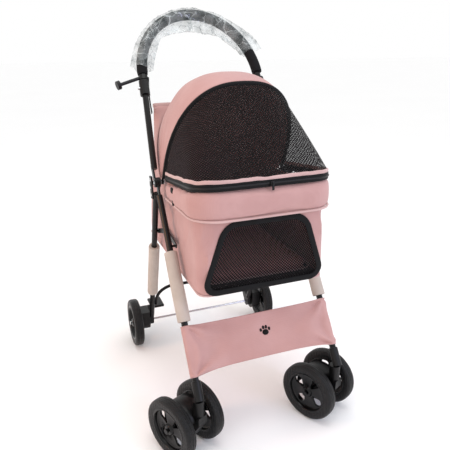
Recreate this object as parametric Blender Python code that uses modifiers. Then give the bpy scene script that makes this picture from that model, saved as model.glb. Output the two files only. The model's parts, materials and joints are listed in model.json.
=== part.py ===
"""A folding pet stroller: two pairs of tube legs on side hinges, an arched push handle that folds
forward, a fabric cabin with a padded rim, a hood with a mesh front, two swivelling double-wheel
casters in front and two double wheels on one axle behind.

Metres, +Z up, the front of the stroller towards -Y. The origin is on the ground, under the middle
of the overall outline. The pieces are drawn about the frame's own plane of symmetry, and one empty
carries them all to their place.
"""

import math

import bmesh
import bpy
from mathutils import Matrix, Vector

# --- Driving dimensions ---------------------------------------------------------------------------

FIT = 0.0003  # gap between neighbours that touch

# From the middle of the overall outline to the frame's plane of symmetry: the peg on the left and
# the pedals behind stick out further than what is opposite them.
MIDDLE_X = 0.01955
MIDDLE_Y = -0.01782

# Frame, seen from the side: the legs and the handle posts meet at one hinge on each side.
LEG_X = 0.183
HINGE_Y = 0.0325
HINGE_Z = 0.595
FRONT_LEG_TILT = math.radians(35.3)
REAR_LEG_TILT = math.radians(24.2)
POST_TILT = math.radians(32.8)
TUBE_RADIUS = 0.008
TUBE_START = 0.036  # the tubes stop this far from the hinge axis
FRONT_LEG_END = (HINGE_Z - 0.1935) / math.cos(FRONT_LEG_TILT)
REAR_FOOT_X = LEG_X - 0.011

# Hinge stack along X, from the cabin outwards.
LUG_RADIUS = 0.0125
LUG_ARM = 0.014
LUG_THICKNESS = 0.0044
BOW_EYE_X = LEG_X - 0.0145
REAR_LUG_X = LEG_X - 0.0058
FRONT_LUG_X = LEG_X - 0.0008
POST_LUG_X = LEG_X + 0.0042
PIN_RADIUS = 0.003
PIN_CLEARANCE = 0.0003

# Wheels.
WHEEL_RADIUS = 0.075
WHEEL_WIDTH = 0.028
HUB_RADIUS = WHEEL_RADIUS - 0.0215
BOSS_RADIUS = 0.013
AXLE_RADIUS = 0.0035
WHEEL_WINDOWS = 4
WHEEL_SEGMENTS = 24
REAR_WHEEL_Y = HINGE_Y + (HINGE_Z - WHEEL_RADIUS + 0.001) * math.tan(REAR_LEG_TILT)
REAR_LEG_END = (HINGE_Z - WHEEL_RADIUS - 0.0202) / math.cos(REAR_LEG_TILT)
REAR_HOUSING = 0.0275  # width of the moulded block between the leg and the wheel
HOUSING_GAP = 0.0010
HOUSING_RADIUS = 0.026
HOUSING_RISE = 0.040
CASTER_Y = HINGE_Y - (HINGE_Z - 0.1724) * math.tan(FRONT_LEG_TILT)
CASTER_TRAIL = 0.0454
CASTER_HALF_TRACK = 0.0456
CASTER_SWIVEL = math.radians(25.5)
FORK_HALF_WIDTH = 0.022
FORK_TOP = WHEEL_RADIUS + 0.037
SOCKET_TOP = FORK_TOP + 0.040
KINGPIN_RADIUS = 0.0042
BOSS_OUTER = 0.0135

# Cabin.
CABIN_HALF_WIDTH = LEG_X - 0.025
CABIN_FRONT_Y = -0.225
CABIN_REAR_BOTTOM_Y = 0.268
CABIN_REAR_TOP_Y = 0.212
CABIN_TOP_Z = HINGE_Z + 0.005
CABIN_BOTTOM_Z = CABIN_TOP_Z - 0.216
CABIN_WALL = 0.004
CABIN_LOW_CORNER = 0.022
CABIN_TOP_CORNER = 0.045
BOARD_THICKNESS = 0.004
CUSHION_THICKNESS = 0.026
WINDOW_BOTTOM_HALF = CABIN_HALF_WIDTH - 0.018
WINDOW_TOP_HALF = WINDOW_BOTTOM_HALF - 0.053
WINDOW_LOW_Z = CABIN_BOTTOM_Z + 0.013
WINDOW_TOP_Z = CABIN_TOP_Z - 0.047
WINDOW_BINDING = 0.018
WINDOW_BINDING_THICKNESS = 0.003
WINDOW_FOOT_ROUND = 0.024
WINDOW_HEAD_ROUND = 0.045
REAR_PANEL_TOP_Y = 0.180
REAR_PANEL_TOP_Z = CABIN_TOP_Z + 0.172
REAR_PANEL_HALF = CABIN_HALF_WIDTH - 0.006
REAR_PANEL_CORNER = 0.025

# Padded rim and its zip.
RIM_OUTER_X = LEG_X - 0.011
RIM_FRONT_Y = CABIN_FRONT_Y - 0.030
RIM_BACK_Y = 0.004
RIM_CORNER = 0.068
RIM_LOW_Z = CABIN_TOP_Z - 0.033
RIM_LOW_SLOPE = 0.036
RIM_FRONT_Z = CABIN_TOP_Z + 0.041
RIM_SLOPE = 0.124  # the rim falls towards the hinge
TAPE_HEIGHT = 0.013
TAPE_THICKNESS = 0.004
TAPE_INSET = 0.004

# Hood.
BOW_TILT = math.radians(28)
BOW_HEIGHT = 0.276
BOW_HALF_WIDTH = LEG_X - 0.0175
BOW_POWER = 2.5
BOW_RADIUS = 0.003
HOOD_GAP = 0.005
HOOD_REAR_TILT = math.radians(-34)
HOOD_REAR_HEIGHT = 0.236
HOOD_FABRIC = 0.0025
HOOD_BASE = 0.030

# Handle.
ARCH_START = 0.300
ARCH_RISE = 0.190
ARCH_HALF = LEG_X - 0.016
COLLAR_LOW = 0.243
COLLAR_HIGH = 0.284
COLLAR_RADIUS = TUBE_RADIUS + 0.0052
COLLAR_PLAY = TUBE_RADIUS * 0.0375  # a wider tube needs a little more room in its collar
GRIP_BORE = TUBE_RADIUS + 0.0012
GRIP_RADIUS = GRIP_BORE + 0.0053
GRIP_START = 0.303
FILM_RADIUS = GRIP_RADIUS + 0.007
FILM_THICKNESS = 0.002
CLAMP_LOW = 0.287
CLAMP_HIGH = 0.300
ARM_LENGTH = 0.058
ARM_RADIUS = 0.0045
KNOB_RADIUS = 0.0115
BUTTON_RADIUS = 0.004
BUTTON_HEIGHT = 0.0045

# Foam sleeves, front panel, crossbar and braces, as distances down the legs from the hinge.
FOAM_RADIUS = 0.0158
FRONT_FOAM = (0.184, 0.354)
REAR_FOAM = (0.228, 0.430)
PANEL_SPAN = (0.366, 0.486)
PANEL_SLEEVE = 0.0112
PANEL_THICKNESS = 0.003
CROSSBAR_RADIUS = 0.005
CROSSBAR_LOW = 0.494
CROSSBAR_HIGH = 0.414
BRACE_REACH = 0.170
BRACE_LENGTH = 0.0865
BRACE_WIDTH = 0.013
BRACE_THICKNESS = 0.0028
BRACE_OUTER_X = LEG_X - TUBE_RADIUS - 0.005
BRACE_INNER_X = BRACE_OUTER_X - 0.0035
BRACKET_THICKNESS = 0.012
BRACKET_RADIUS = 0.015
PEDAL_LENGTH = 0.058
PEDAL_WIDTH = 0.044


# --- Directions and places worked out from them -----------------------------------------------------

HINGE = Vector((0, HINGE_Y, HINGE_Z))
FRONT_DOWN = Vector((0, -math.sin(FRONT_LEG_TILT), -math.cos(FRONT_LEG_TILT)))
REAR_DOWN = Vector((0, math.sin(REAR_LEG_TILT), -math.cos(REAR_LEG_TILT)))
POST_UP = Vector((0, math.sin(POST_TILT), math.cos(POST_TILT)))
AXLE_Z = WHEEL_RADIUS
LEG_TO_WHEEL = WHEEL_RADIUS * 0.02 - 0.0005  # the leg leans out, so a larger wheel stands further off
HOUSING_X = REAR_FOOT_X + TUBE_RADIUS + LEG_TO_WHEEL + REAR_HOUSING / 2
REAR_WHEEL_X = HOUSING_X + REAR_HOUSING / 2 + HOUSING_GAP + 0.001 + WHEEL_WIDTH / 2
SIDES = (("left", -1), ("right", 1))


def side_point(x, y, z, side):
    return Vector((x * side, y, z))


def along(direction, distance, x, side=1):
    """A point down a leg or up a post, at distance from the hinge axis."""
    point = HINGE + direction * distance
    return Vector((x * side, point.y, point.z))


# --- Scene, materials and bodies ------------------------------------------------------------------

for leftover in list(bpy.data.objects):
    bpy.data.objects.remove(leftover, do_unlink=True)

PARTS = bpy.data.collections.new("pet_stroller")
CUTTERS = bpy.data.collections.new("cutters")
bpy.context.scene.collection.children.link(PARTS)
bpy.context.scene.collection.children.link(CUTTERS)
CUTTERS.hide_render = True

STROLLER = bpy.data.objects.new("stroller", None)
STROLLER.location = (MIDDLE_X, MIDDLE_Y, 0)
PARTS.objects.link(STROLLER)


def linear(channel):
    return channel / 12.92 if channel <= 0.04045 else ((channel + 0.055) / 1.055) ** 2.4


def material(name, colour, roughness, metallic=0.0, alpha=1.0):
    made = bpy.data.materials.new(name)
    made.use_nodes = True
    shader = made.node_tree.nodes["Principled BSDF"]
    channels = [linear(int(colour[i : i + 2], 16) / 255) for i in (0, 2, 4)]
    shader.inputs["Base Color"].default_value = (*channels, 1.0)
    shader.inputs["Roughness"].default_value = roughness
    shader.inputs["Metallic"].default_value = metallic
    shader.inputs["Alpha"].default_value = alpha
    return made


STEEL_BLACK = material("black_powder_coat", "17171a", 0.38, 0.1)
PLASTIC = material("black_plastic", "1b1b1e", 0.45)
CHROME = material("chrome_steel", "c9cacc", 0.18, 1.0)
PINK = material("pink_oxford", "e6b5b3", 0.85)
PINK_LINING = material("pink_lining", "c98f90", 0.9)
MESH = material("black_mesh", "1d1a1c", 0.9)
TAPE = material("black_webbing", "121214", 0.8)
FOAM = material("white_foam", "d9cfc4", 0.9)
GRIP = material("black_grip_foam", "232325", 0.95)
FILM = material("clear_film", "e4ecec", 0.15, 0.0, 0.35)
TYRE = material("black_wheel", "1a1a1c", 0.6)


def empty(name, place):
    """An empty on a joint's axis, which the pieces of that body hang from."""
    made = bpy.data.objects.new(name, None)
    made.location = place
    made.parent = STROLLER
    made.empty_display_size = 0.03
    PARTS.objects.link(made)
    return made


def add(obj, finish, body=None):
    PARTS.objects.link(obj)
    obj.data.materials.clear()
    obj.data.materials.append(finish)
    obj.parent = body or STROLLER
    if body:
        obj.location = obj.location - body.location
    return obj


def smooth(obj, angle=35):
    obj.data.shade_smooth()
    obj.data.set_sharp_from_angle(angle=math.radians(angle))
    return obj


# --- Shapes ---------------------------------------------------------------------------------------


def curve_object(name, strands, cyclic, dimensions):
    data = bpy.data.curves.new(name, "CURVE")
    data.dimensions = dimensions
    for points in strands:
        spline = data.splines.new("POLY")
        spline.points.add(len(points) - 1)
        for knot, point in zip(spline.points, points):
            knot.co = (*point, 1.0)
        spline.use_cyclic_u = cyclic
    return bpy.data.objects.new(name, data)


def tube(name, points, radius, resolution=3):
    """A solid rod along a line of points, its ends closed."""
    place = points[0]
    obj = curve_object(name, [[point - place for point in points]], False, "3D")
    obj.data.bevel_depth = radius
    obj.data.bevel_resolution = resolution
    obj.data.use_fill_caps = True
    obj.location = place
    return obj


def sleeve(name, points, outer, inner, resolution=3):
    """A pipe wall along a line of points, open at both ends."""
    obj = tube(name, points, outer, resolution)
    obj.data.use_fill_caps = False
    wall = obj.modifiers.new("wall", "SOLIDIFY")
    wall.thickness = outer - inner
    wall.offset = -1
    return obj


def circle(radius, centre=(0, 0), count=20, start=0.0, sweep=2 * math.pi, last=False):
    steps = count if not last else count - 1
    angles = [start + sweep * i / steps for i in range(count)]
    return [(centre[0] + radius * math.cos(a), centre[1] + radius * math.sin(a)) for a in angles]


def plate(name, outlines, thickness, across, up, place):
    """A flat plate: outlines lie in the plane of across and up, and later ones are holes."""
    obj = curve_object(name, [[(x, y, 0) for x, y in line] for line in outlines], True, "2D")
    obj.data.fill_mode = "BOTH"
    obj.data.extrude = thickness / 2
    normal = across.cross(up)
    turn = Matrix((across, up, normal)).transposed()
    obj.rotation_euler = turn.to_euler()
    obj.location = place
    return obj


def turned(name, profile, segments, axis, place):
    """A closed profile of (radius, height) points turned round the given axis."""
    data = bpy.data.meshes.new(name)
    shape = bmesh.new()
    verts = [shape.verts.new((radius, 0, height)) for radius, height in profile]
    for i, vert in enumerate(verts):
        shape.edges.new((vert, verts[(i + 1) % len(verts)]))
    shape.to_mesh(data)
    shape.free()
    obj = bpy.data.objects.new(name, data)
    spin = obj.modifiers.new("turn", "SCREW")
    spin.steps = spin.render_steps = segments
    spin.use_merge_vertices = True
    spin.merge_threshold = 0.00001
    obj.rotation_euler = Vector((0, 0, 1)).rotation_difference(axis).to_euler()
    obj.location = place
    return obj


def cylinder(name, radius, start, end, segments=16):
    shape = bmesh.new()
    line = end - start
    turn = Vector((0, 0, 1)).rotation_difference(line).to_matrix().to_4x4()
    bmesh.ops.create_cone(
        shape,
        cap_ends=True,
        segments=segments,
        radius1=radius,
        radius2=radius,
        depth=line.length,
        matrix=turn,
    )
    data = bpy.data.meshes.new(name)
    shape.to_mesh(data)
    shape.free()
    obj = bpy.data.objects.new(name, data)
    obj.location = (start + end) / 2
    return obj


def box(name, low, high, rounding=0.0, segments=2):
    shape = bmesh.new()
    size = high - low
    bmesh.ops.create_cube(shape, size=1.0, matrix=Matrix.Diagonal((*size, 1)))
    data = bpy.data.meshes.new(name)
    shape.to_mesh(data)
    shape.free()
    obj = bpy.data.objects.new(name, data)
    obj.location = (low + high) / 2
    if rounding:
        edge = obj.modifiers.new("rounding", "BEVEL")
        edge.width = rounding
        edge.segments = segments
        edge.limit_method = "ANGLE"
    return obj


def loft(name, rings, closed=True):
    """Rings of equally many points, skinned one to the next, with or without end caps."""
    shape = bmesh.new()
    rows = [[shape.verts.new(point) for point in ring] for ring in rings]
    for lower, upper in zip(rows, rows[1:]):
        for i, vert in enumerate(lower):
            j = (i + 1) % len(lower)
            shape.faces.new((vert, lower[j], upper[j], upper[i]))
    shape.faces.new(reversed(rows[0]))
    if closed:
        shape.faces.new(rows[-1])
    bmesh.ops.recalc_face_normals(shape, faces=shape.faces)
    data = bpy.data.meshes.new(name)
    shape.to_mesh(data)
    shape.free()
    return bpy.data.objects.new(name, data)


def sheet(name, rows, thickness):
    """A cloth skin through rows of points, given its thickness to both sides."""
    shape = bmesh.new()
    grid = [[shape.verts.new(point) for point in row] for row in rows]
    for lower, upper in zip(grid, grid[1:]):
        for i in range(len(lower) - 1):
            shape.faces.new((lower[i], lower[i + 1], upper[i + 1], upper[i]))
    data = bpy.data.meshes.new(name)
    shape.to_mesh(data)
    shape.free()
    obj = bpy.data.objects.new(name, data)
    wall = obj.modifiers.new("cloth", "SOLIDIFY")
    wall.thickness = thickness
    wall.offset = 0
    return obj


def as_mesh(obj):
    """The object with its modifiers and curve made into a plain welded mesh."""
    CUTTERS.objects.link(obj)
    bpy.context.view_layer.update()
    graph = bpy.context.evaluated_depsgraph_get()
    data = bpy.data.meshes.new_from_object(obj.evaluated_get(graph), depsgraph=graph)
    shape = bmesh.new()
    shape.from_mesh(data)
    bmesh.ops.remove_doubles(shape, verts=shape.verts, dist=0.00001)
    shape.to_mesh(data)
    shape.free()
    made = bpy.data.objects.new(obj.name, data)
    made.matrix_world = obj.matrix_world.copy()
    name = obj.name
    bpy.data.objects.remove(obj, do_unlink=True)
    made.name = name
    return made


def combine(base, tool, operation):
    """A Boolean on base with a hidden tool object."""
    helper = as_mesh(tool)
    helper.name = tool_name = f"{base.name}_{operation.lower()}_{len(base.modifiers)}"
    CUTTERS.objects.link(helper)
    helper.parent = STROLLER
    helper.hide_render = True
    helper.display_type = "WIRE"
    step = base.modifiers.new(tool_name, "BOOLEAN")
    step.operation = operation
    step.object = helper
    step.solver = "EXACT"
    return base


# --- Legs and hinges ------------------------------------------------------------------------------


def lug_outline(reach):
    """An eye round the hinge pin with an arm along +Y of the plate."""
    eye_start = math.asin(LUG_ARM / 2 / LUG_RADIUS)
    round_end = circle(
        LUG_RADIUS, count=15, start=math.pi / 2 + eye_start, sweep=2 * math.pi - 2 * eye_start, last=True
    )
    return round_end + [(LUG_ARM / 2, reach), (-LUG_ARM / 2, reach)]


def lug(name, x, direction, reach, side):
    """A flat eye on the hinge pin whose arm points along direction."""
    hole = circle(PIN_RADIUS + PIN_CLEARANCE, count=12)
    across = Vector((1, 0, 0)).cross(direction)
    place = side_point(x, HINGE_Y, HINGE_Z, side)
    return plate(name, [lug_outline(reach), hole], LUG_THICKNESS, across, direction, place)


def straight_leg(name, direction, start_x, end_x, end, lug_x, side, finish, body):
    """A tube that stops short of the hinge, with its flat eye fixed in the tube's end."""
    start = along(direction, TUBE_START, start_x, side)
    foot = along(direction, end, end_x, side)
    leg = as_mesh(tube(name, [start, foot], TUBE_RADIUS, 4))
    combine(leg, lug(name + "_eye", lug_x, direction, TUBE_START + 0.012, side), "UNION")
    return smooth(add(leg, finish, body))


REAR_FRAME = empty("rear_frame_axis", HINGE)
HANDLE = empty("handle_axis", HINGE)
HOOD = empty("hood_axis", HINGE)


def brace_pin(leg, direction, side):
    """A short rivet that stands on the inner side of a leg and carries a brace link."""
    outer = along(direction, BRACE_REACH, LEG_X - TUBE_RADIUS / 2, side)
    inner = along(direction, BRACE_REACH, BRACE_INNER_X - BRACE_THICKNESS, side)
    combine(leg, cylinder("pin", PIN_RADIUS, outer, inner, 12), "UNION")


def build_legs():
    for word, side in SIDES:
        front = straight_leg(
            f"front_leg_{word}", FRONT_DOWN, LEG_X, LEG_X, FRONT_LEG_END, FRONT_LUG_X, side, STEEL_BLACK, None
        )
        rear = straight_leg(
            f"rear_leg_{word}",
            REAR_DOWN,
            LEG_X,
            REAR_FOOT_X,
            REAR_LEG_END,
            REAR_LUG_X,
            side,
            STEEL_BLACK,
            REAR_FRAME,
        )
        brace_pin(front, FRONT_DOWN, side)
        brace_pin(rear, REAR_DOWN, side)


def build_hinges():
    """On each side one rivet holds the bow's eye, both legs and the handle post."""
    for word, side in SIDES:
        inner = BOW_EYE_X - 0.0045
        outer = POST_LUG_X + LUG_THICKNESS / 2 + 0.0008
        profile = [
            (0.0, inner - 0.0015),
            (0.0055, inner - 0.0015),
            (0.0055, inner),
            (PIN_RADIUS, inner),
            (PIN_RADIUS, outer),
            (0.0068, outer),
            (0.0055, outer + 0.0026),
            (0.0, outer + 0.0032),
        ][::-1]
        rivet = turned(f"hinge_rivet_{word}", profile, 16, Vector((side, 0, 0)), HINGE)
        smooth(add(rivet, CHROME))


def rear_leg_x(distance):
    share = (distance - TUBE_START) / (REAR_LEG_END - TUBE_START)
    return LEG_X + (REAR_FOOT_X - LEG_X) * share


def build_foam():
    """White foam sleeves slipped over the legs."""
    for word, side in SIDES:
        front = [along(FRONT_DOWN, distance, LEG_X, side) for distance in FRONT_FOAM]
        rear = [along(REAR_DOWN, distance, rear_leg_x(distance), side) for distance in REAR_FOAM]
        bore = TUBE_RADIUS + FIT
        smooth(add_curve(sleeve(f"front_foam_{word}", front, FOAM_RADIUS, bore, 4), FOAM))
        smooth(add_curve(sleeve(f"rear_foam_{word}", rear, FOAM_RADIUS, bore, 4), FOAM, REAR_FRAME))


def add_curve(obj, finish, body=None):
    """A curve made into a mesh and added."""
    return add(as_mesh(obj), finish, body)


def build_front_panel():
    """Cloth stretched between the front legs, with a sewn sleeve round each leg."""
    half = PANEL_THICKNESS / 2
    open_angle = math.asin(half / PANEL_SLEEVE)
    sweep = 2 * math.pi - 2 * open_angle
    right = circle(PANEL_SLEEVE, (LEG_X, 0), 21, math.pi + open_angle, sweep, True)
    left = circle(PANEL_SLEEVE, (-LEG_X, 0), 21, open_angle, sweep, True)
    holes = [circle(TUBE_RADIUS + FIT * 2, (x, 0), 16) for x in (-LEG_X, LEG_X)]
    middle = sum(PANEL_SPAN) / 2
    normal = Vector((1, 0, 0)).cross(FRONT_DOWN)
    panel = plate(
        "front_panel",
        [right + left, *holes],
        PANEL_SPAN[1] - PANEL_SPAN[0],
        Vector((1, 0, 0)),
        normal,
        HINGE + FRONT_DOWN * middle,
    )
    add_curve(panel, PINK)


# --- Wheels and casters ---------------------------------------------------------------------------


def wheel(name, centre, axis, body):
    """A tyre on a dished hub with windows between its spokes, turning on the axle."""
    half = WHEEL_WIDTH / 2
    profile = [
        (AXLE_RADIUS + PIN_CLEARANCE, half - 0.003),
        (BOSS_RADIUS, half - 0.003),
        (HUB_RADIUS - 0.003, 0.003),
        (HUB_RADIUS, half - 0.001),
        (WHEEL_RADIUS - 0.010, half),
        (WHEEL_RADIUS - 0.003, half - 0.004),
        (WHEEL_RADIUS, 0.005),
    ]
    mirrored = [(radius, -height) for radius, height in reversed(profile)]
    made = turned(name, profile + mirrored, WHEEL_SEGMENTS, axis, centre)
    made = as_mesh(made)
    middle = (BOSS_RADIUS + HUB_RADIUS) / 2
    window = (HUB_RADIUS - BOSS_RADIUS) * 0.27
    side_way = axis.cross(Vector((0, 0, 1))).normalized()
    for i in range(WHEEL_WINDOWS):
        angle = 2 * math.pi * (i + 0.5) / WHEEL_WINDOWS
        spot = centre + (side_way * math.cos(angle) + Vector((0, 0, 1)) * math.sin(angle)) * middle
        combine(made, cylinder("window", window, spot - axis * 0.03, spot + axis * 0.03, 10), "DIFFERENCE")
    return smooth(add(made, TYRE, body))


def axle_profile(half_length):
    head = AXLE_RADIUS + 0.0035
    return [
        (0.0, -half_length - 0.003),
        (head, -half_length - 0.003),
        (head, -half_length),
        (AXLE_RADIUS, -half_length),
        (AXLE_RADIUS, half_length),
        (head, half_length),
        (head, half_length + 0.003),
        (0.0, half_length + 0.003),
    ][::-1]


def caster_socket(word, side):
    """The plastic foot of the front leg: an inclined boss on the tube and an upright one."""
    kingpin = Vector((LEG_X * side, CASTER_Y, 0))
    low = kingpin + Vector((0, 0, FORK_TOP + FIT))
    high = kingpin + Vector((0, 0, SOCKET_TOP))
    upright = cylinder(f"caster_socket_{word}", BOSS_OUTER, low, high, 20)
    leg_end = along(FRONT_DOWN, FRONT_LEG_END + FIT, LEG_X, side)
    inner = leg_end + FRONT_DOWN * 0.045
    combine(upright, cylinder("boss", 0.0112, leg_end, inner, 20), "UNION")
    bore_top = kingpin + Vector((0, 0, FORK_TOP + 0.026))
    bore = cylinder("bore", KINGPIN_RADIUS + PIN_CLEARANCE, low - Vector((0, 0, 0.01)), bore_top, 14)
    combine(upright, bore, "DIFFERENCE")
    smooth(add(upright, PLASTIC))


def caster_fork(word, side, body):
    """The swivelling block between the two wheels, with its kingpin and its axle fixed in it."""
    kingpin = Vector((LEG_X * side, CASTER_Y, 0))
    lateral = Vector((math.cos(CASTER_SWIVEL), math.sin(CASTER_SWIVEL), 0))
    back = Vector((-math.sin(CASTER_SWIVEL), math.cos(CASTER_SWIVEL), 0))
    disc = 0.043
    outline = [(BOSS_OUTER, FORK_TOP), (-BOSS_OUTER, FORK_TOP), (-BOSS_OUTER, FORK_TOP - 0.022)]
    outline += circle(disc, (CASTER_TRAIL, AXLE_Z), 17, math.radians(195), math.radians(245), True)
    fork = plate(
        f"caster_fork_{word}", [outline], FORK_HALF_WIDTH * 1.2, back, Vector((0, 0, 1)), kingpin
    )
    fork = as_mesh(fork)
    pin_low = kingpin + Vector((0, 0, FORK_TOP - 0.02))
    pin_high = kingpin + Vector((0, 0, FORK_TOP + 0.024))
    pin = cylinder("kingpin", KINGPIN_RADIUS, pin_low, pin_high, 14)
    combine(fork, pin, "UNION")
    centre = kingpin + back * CASTER_TRAIL + Vector((0, 0, AXLE_Z))
    reach = CASTER_HALF_TRACK + WHEEL_WIDTH / 2 + 0.001
    spindle = turned("axle", axle_profile(reach), 14, lateral, centre)
    combine(fork, spindle, "UNION")
    smooth(add(fork, PLASTIC, body))
    return centre, lateral


def build_casters():
    for word, side in SIDES:
        caster_socket(word, side)
        body = empty(f"caster_axis_{word}", Vector((LEG_X * side, CASTER_Y, FORK_TOP)))
        centre, lateral = caster_fork(word, side, body)
        for place, shift in (("a", -1), ("b", 1)):
            middle = centre + lateral * CASTER_HALF_TRACK * shift
            axis = empty(f"front_wheel_axis_{word}_{place}", middle)
            wheel(f"front_wheel_{word}_{place}", middle, lateral, axis)


def build_rear_axle():
    """One steel axle through both leg brackets, with two wheels outside each leg."""
    centre = Vector((0, REAR_WHEEL_Y, AXLE_Z))
    reach = REAR_WHEEL_X + WHEEL_WIDTH / 2 + 0.001
    axle = turned("rear_axle", axle_profile(reach), 14, Vector((1, 0, 0)), centre)
    smooth(add(axle, CHROME, REAR_FRAME))
    for word, side in SIDES:
        rear_bracket(word, side)
        brake_pedal(word, side)
        rear_housing(word, side)
        middle = Vector((REAR_WHEEL_X * side, REAR_WHEEL_Y, AXLE_Z))
        axis = empty(f"rear_wheel_axis_{word}", middle)
        wheel(f"rear_wheel_{word}", middle, Vector((side, 0, 0)), axis)


PEDAL_PIVOT = Vector((0, REAR_WHEEL_Y + 0.026, AXLE_Z + 0.030))
BRACKET_X = REAR_FOOT_X + TUBE_RADIUS - BRACKET_THICKNESS / 2 - 0.001


def rear_bracket(word, side):
    """The plastic foot of the rear leg: a plate round the axle with lobes for the tube and the brake."""
    centre = Vector((BRACKET_X * side, REAR_WHEEL_Y, AXLE_Z))
    leg_end = along(REAR_DOWN, REAR_LEG_END + FIT, REAR_FOOT_X, side) - centre
    way = Vector((leg_end.y, leg_end.z)).normalized()
    cross = Vector((-way.y, way.x)) * TUBE_RADIUS
    top = Vector((leg_end.y, leg_end.z))
    pivot = Vector((PEDAL_PIVOT.y - centre.y, PEDAL_PIVOT.z - centre.z))
    outline = circle(BRACKET_RADIUS, (0, 0), 13, math.radians(170), math.radians(180), True)
    outline += circle(0.009, (pivot.x, pivot.y), 7, math.radians(-30), math.radians(120), True)
    outline += [tuple(top - cross), tuple(top + cross)]
    hole = circle(AXLE_RADIUS + PIN_CLEARANCE, count=12)
    peg_hole = circle(PIN_RADIUS + PIN_CLEARANCE, (pivot.x, pivot.y), count=12)
    bracket = plate(
        f"rear_bracket_{word}",
        [outline, hole, peg_hole],
        BRACKET_THICKNESS,
        Vector((0, 1, 0)),
        Vector((0, 0, 1)),
        centre,
    )
    smooth(add_curve(bracket, PLASTIC, REAR_FRAME))


def rear_housing(word, side):
    """The moulded block that holds the wheel off the leg: round below the axle, square above it."""
    centre = Vector((HOUSING_X * side, REAR_WHEEL_Y, AXLE_Z))
    outline = circle(HOUSING_RADIUS, (0, 0), 15, math.radians(180), math.radians(180), True)
    outline += [(HOUSING_RADIUS, HOUSING_RISE), (-HOUSING_RADIUS, HOUSING_RISE)]
    hole = circle(AXLE_RADIUS + PIN_CLEARANCE, count=12)
    housing = plate(
        f"rear_housing_{word}",
        [outline, hole],
        REAR_HOUSING - FIT,
        Vector((0, 1, 0)),
        Vector((0, 0, 1)),
        centre,
    )
    smooth(add_curve(housing, PLASTIC, REAR_FRAME))


def brake_pedal(word, side):
    """A foot pedal behind each rear wheel that turns on a peg in the bracket."""
    body = empty(f"brake_pedal_axis_{word}", PEDAL_PIVOT + Vector((BRACKET_X * side, 0, 0)))
    outer_x = BRACKET_X - BRACKET_THICKNESS / 2 - FIT * 2
    low = PEDAL_PIVOT + Vector((0, -0.006, -0.004))
    high = PEDAL_PIVOT + Vector((0, PEDAL_LENGTH, 0.004))
    spans = sorted((outer_x * side, (outer_x - PEDAL_WIDTH) * side))
    low.x, high.x = spans
    pedal = box(f"brake_pedal_{word}", low, high, 0.002, 1)
    peg_start = PEDAL_PIVOT + Vector(((outer_x - 0.006) * side, 0, 0))
    peg_end = PEDAL_PIVOT + Vector(((outer_x + BRACKET_THICKNESS + 0.001) * side, 0, 0))
    combine(pedal, cylinder("peg", PIN_RADIUS, peg_start, peg_end, 12), "UNION")
    add(pedal, PLASTIC, body)


# --- Crossbar and folding braces --------------------------------------------------------------------


def build_crossbar():
    """A bent rod across the rear legs; its ends are welded on the legs' inner sides."""
    low_x = rear_leg_x(CROSSBAR_LOW) - TUBE_RADIUS - CROSSBAR_RADIUS - FIT
    bend = 0.052
    points = [along(REAR_DOWN, CROSSBAR_LOW, -low_x)]
    for i in range(7):
        angle = math.pi / 2 * i / 6
        inwards = bend * (1 - math.cos(angle))
        rise = bend * math.sin(angle)
        points.append(along(REAR_DOWN, CROSSBAR_HIGH + bend - rise, -low_x + inwards))
    points += [Vector((-point.x, point.y, point.z)) for point in reversed(points)]
    smooth(add_curve(tube("crossbar", points, CROSSBAR_RADIUS), STEEL_BLACK, REAR_FRAME))


BRACE_FRONT = HINGE + FRONT_DOWN * BRACE_REACH
BRACE_REAR = HINGE + REAR_DOWN * BRACE_REACH


def brace_knee():
    """Where the two links of one brace meet, above the line between their pins."""
    line = BRACE_REAR - BRACE_FRONT
    rise = math.sqrt(BRACE_LENGTH**2 - (line.length / 2) ** 2)
    upwards = Vector((0, -line.z, line.y)).normalized()
    return (BRACE_FRONT + BRACE_REAR) / 2 + upwards * rise


def brace_link(name, start, end, x, side, body):
    """A flat link with a round end and a hole at each of its two pins."""
    way = (end - start).normalized()
    across = Vector((1, 0, 0)).cross(way)
    half = BRACE_WIDTH / 2
    length = (end - start).length
    outline = circle(half, (0, 0), 9, math.pi, math.pi, True)
    outline += circle(half, (0, length), 9, 0, math.pi, True)
    holes = [circle(PIN_RADIUS + PIN_CLEARANCE, (0, y), 12) for y in (0, length)]
    link = plate(name, [outline, *holes], BRACE_THICKNESS, across, way, side_point(x, start.y, start.z, side))
    return smooth(add_curve(link, STEEL_BLACK, body))


def build_braces():
    knee = brace_knee()
    for word, side in SIDES:
        front = empty(f"brace_front_axis_{word}", side_point(BRACE_INNER_X, BRACE_FRONT.y, BRACE_FRONT.z, side))
        rear = empty(f"brace_rear_axis_{word}", side_point(BRACE_OUTER_X, BRACE_REAR.y, BRACE_REAR.z, side))
        brace_link(f"brace_front_{word}", BRACE_FRONT, knee, BRACE_INNER_X, side, front)
        brace_link(f"brace_rear_{word}", BRACE_REAR, knee, BRACE_OUTER_X, side, rear)


# --- Cabin ----------------------------------------------------------------------------------------


def rounded_rectangle(half, front, rear, corner, z, per_corner=4):
    """A ring of points, anticlockwise from above, starting at the right front corner."""
    ring = []
    corners = ((half, front, 1, 1), (half, rear, 1, -1), (-half, rear, -1, -1), (-half, front, -1, 1))
    for i, (x, y, inward_x, inward_y) in enumerate(corners):
        centre = (x - inward_x * corner, y + inward_y * corner)
        start = math.radians(-90 + 90 * i)
        arc = circle(corner, centre, per_corner, start, math.pi / 2, True)
        ring += [Vector((px, py, z)) for px, py in arc]
    return ring


def rear_wall_y(z):
    share = (z - CABIN_BOTTOM_Z) / (CABIN_TOP_Z - CABIN_BOTTOM_Z)
    return CABIN_REAR_BOTTOM_Y + (CABIN_REAR_TOP_Y - CABIN_REAR_BOTTOM_Y) * share


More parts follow.
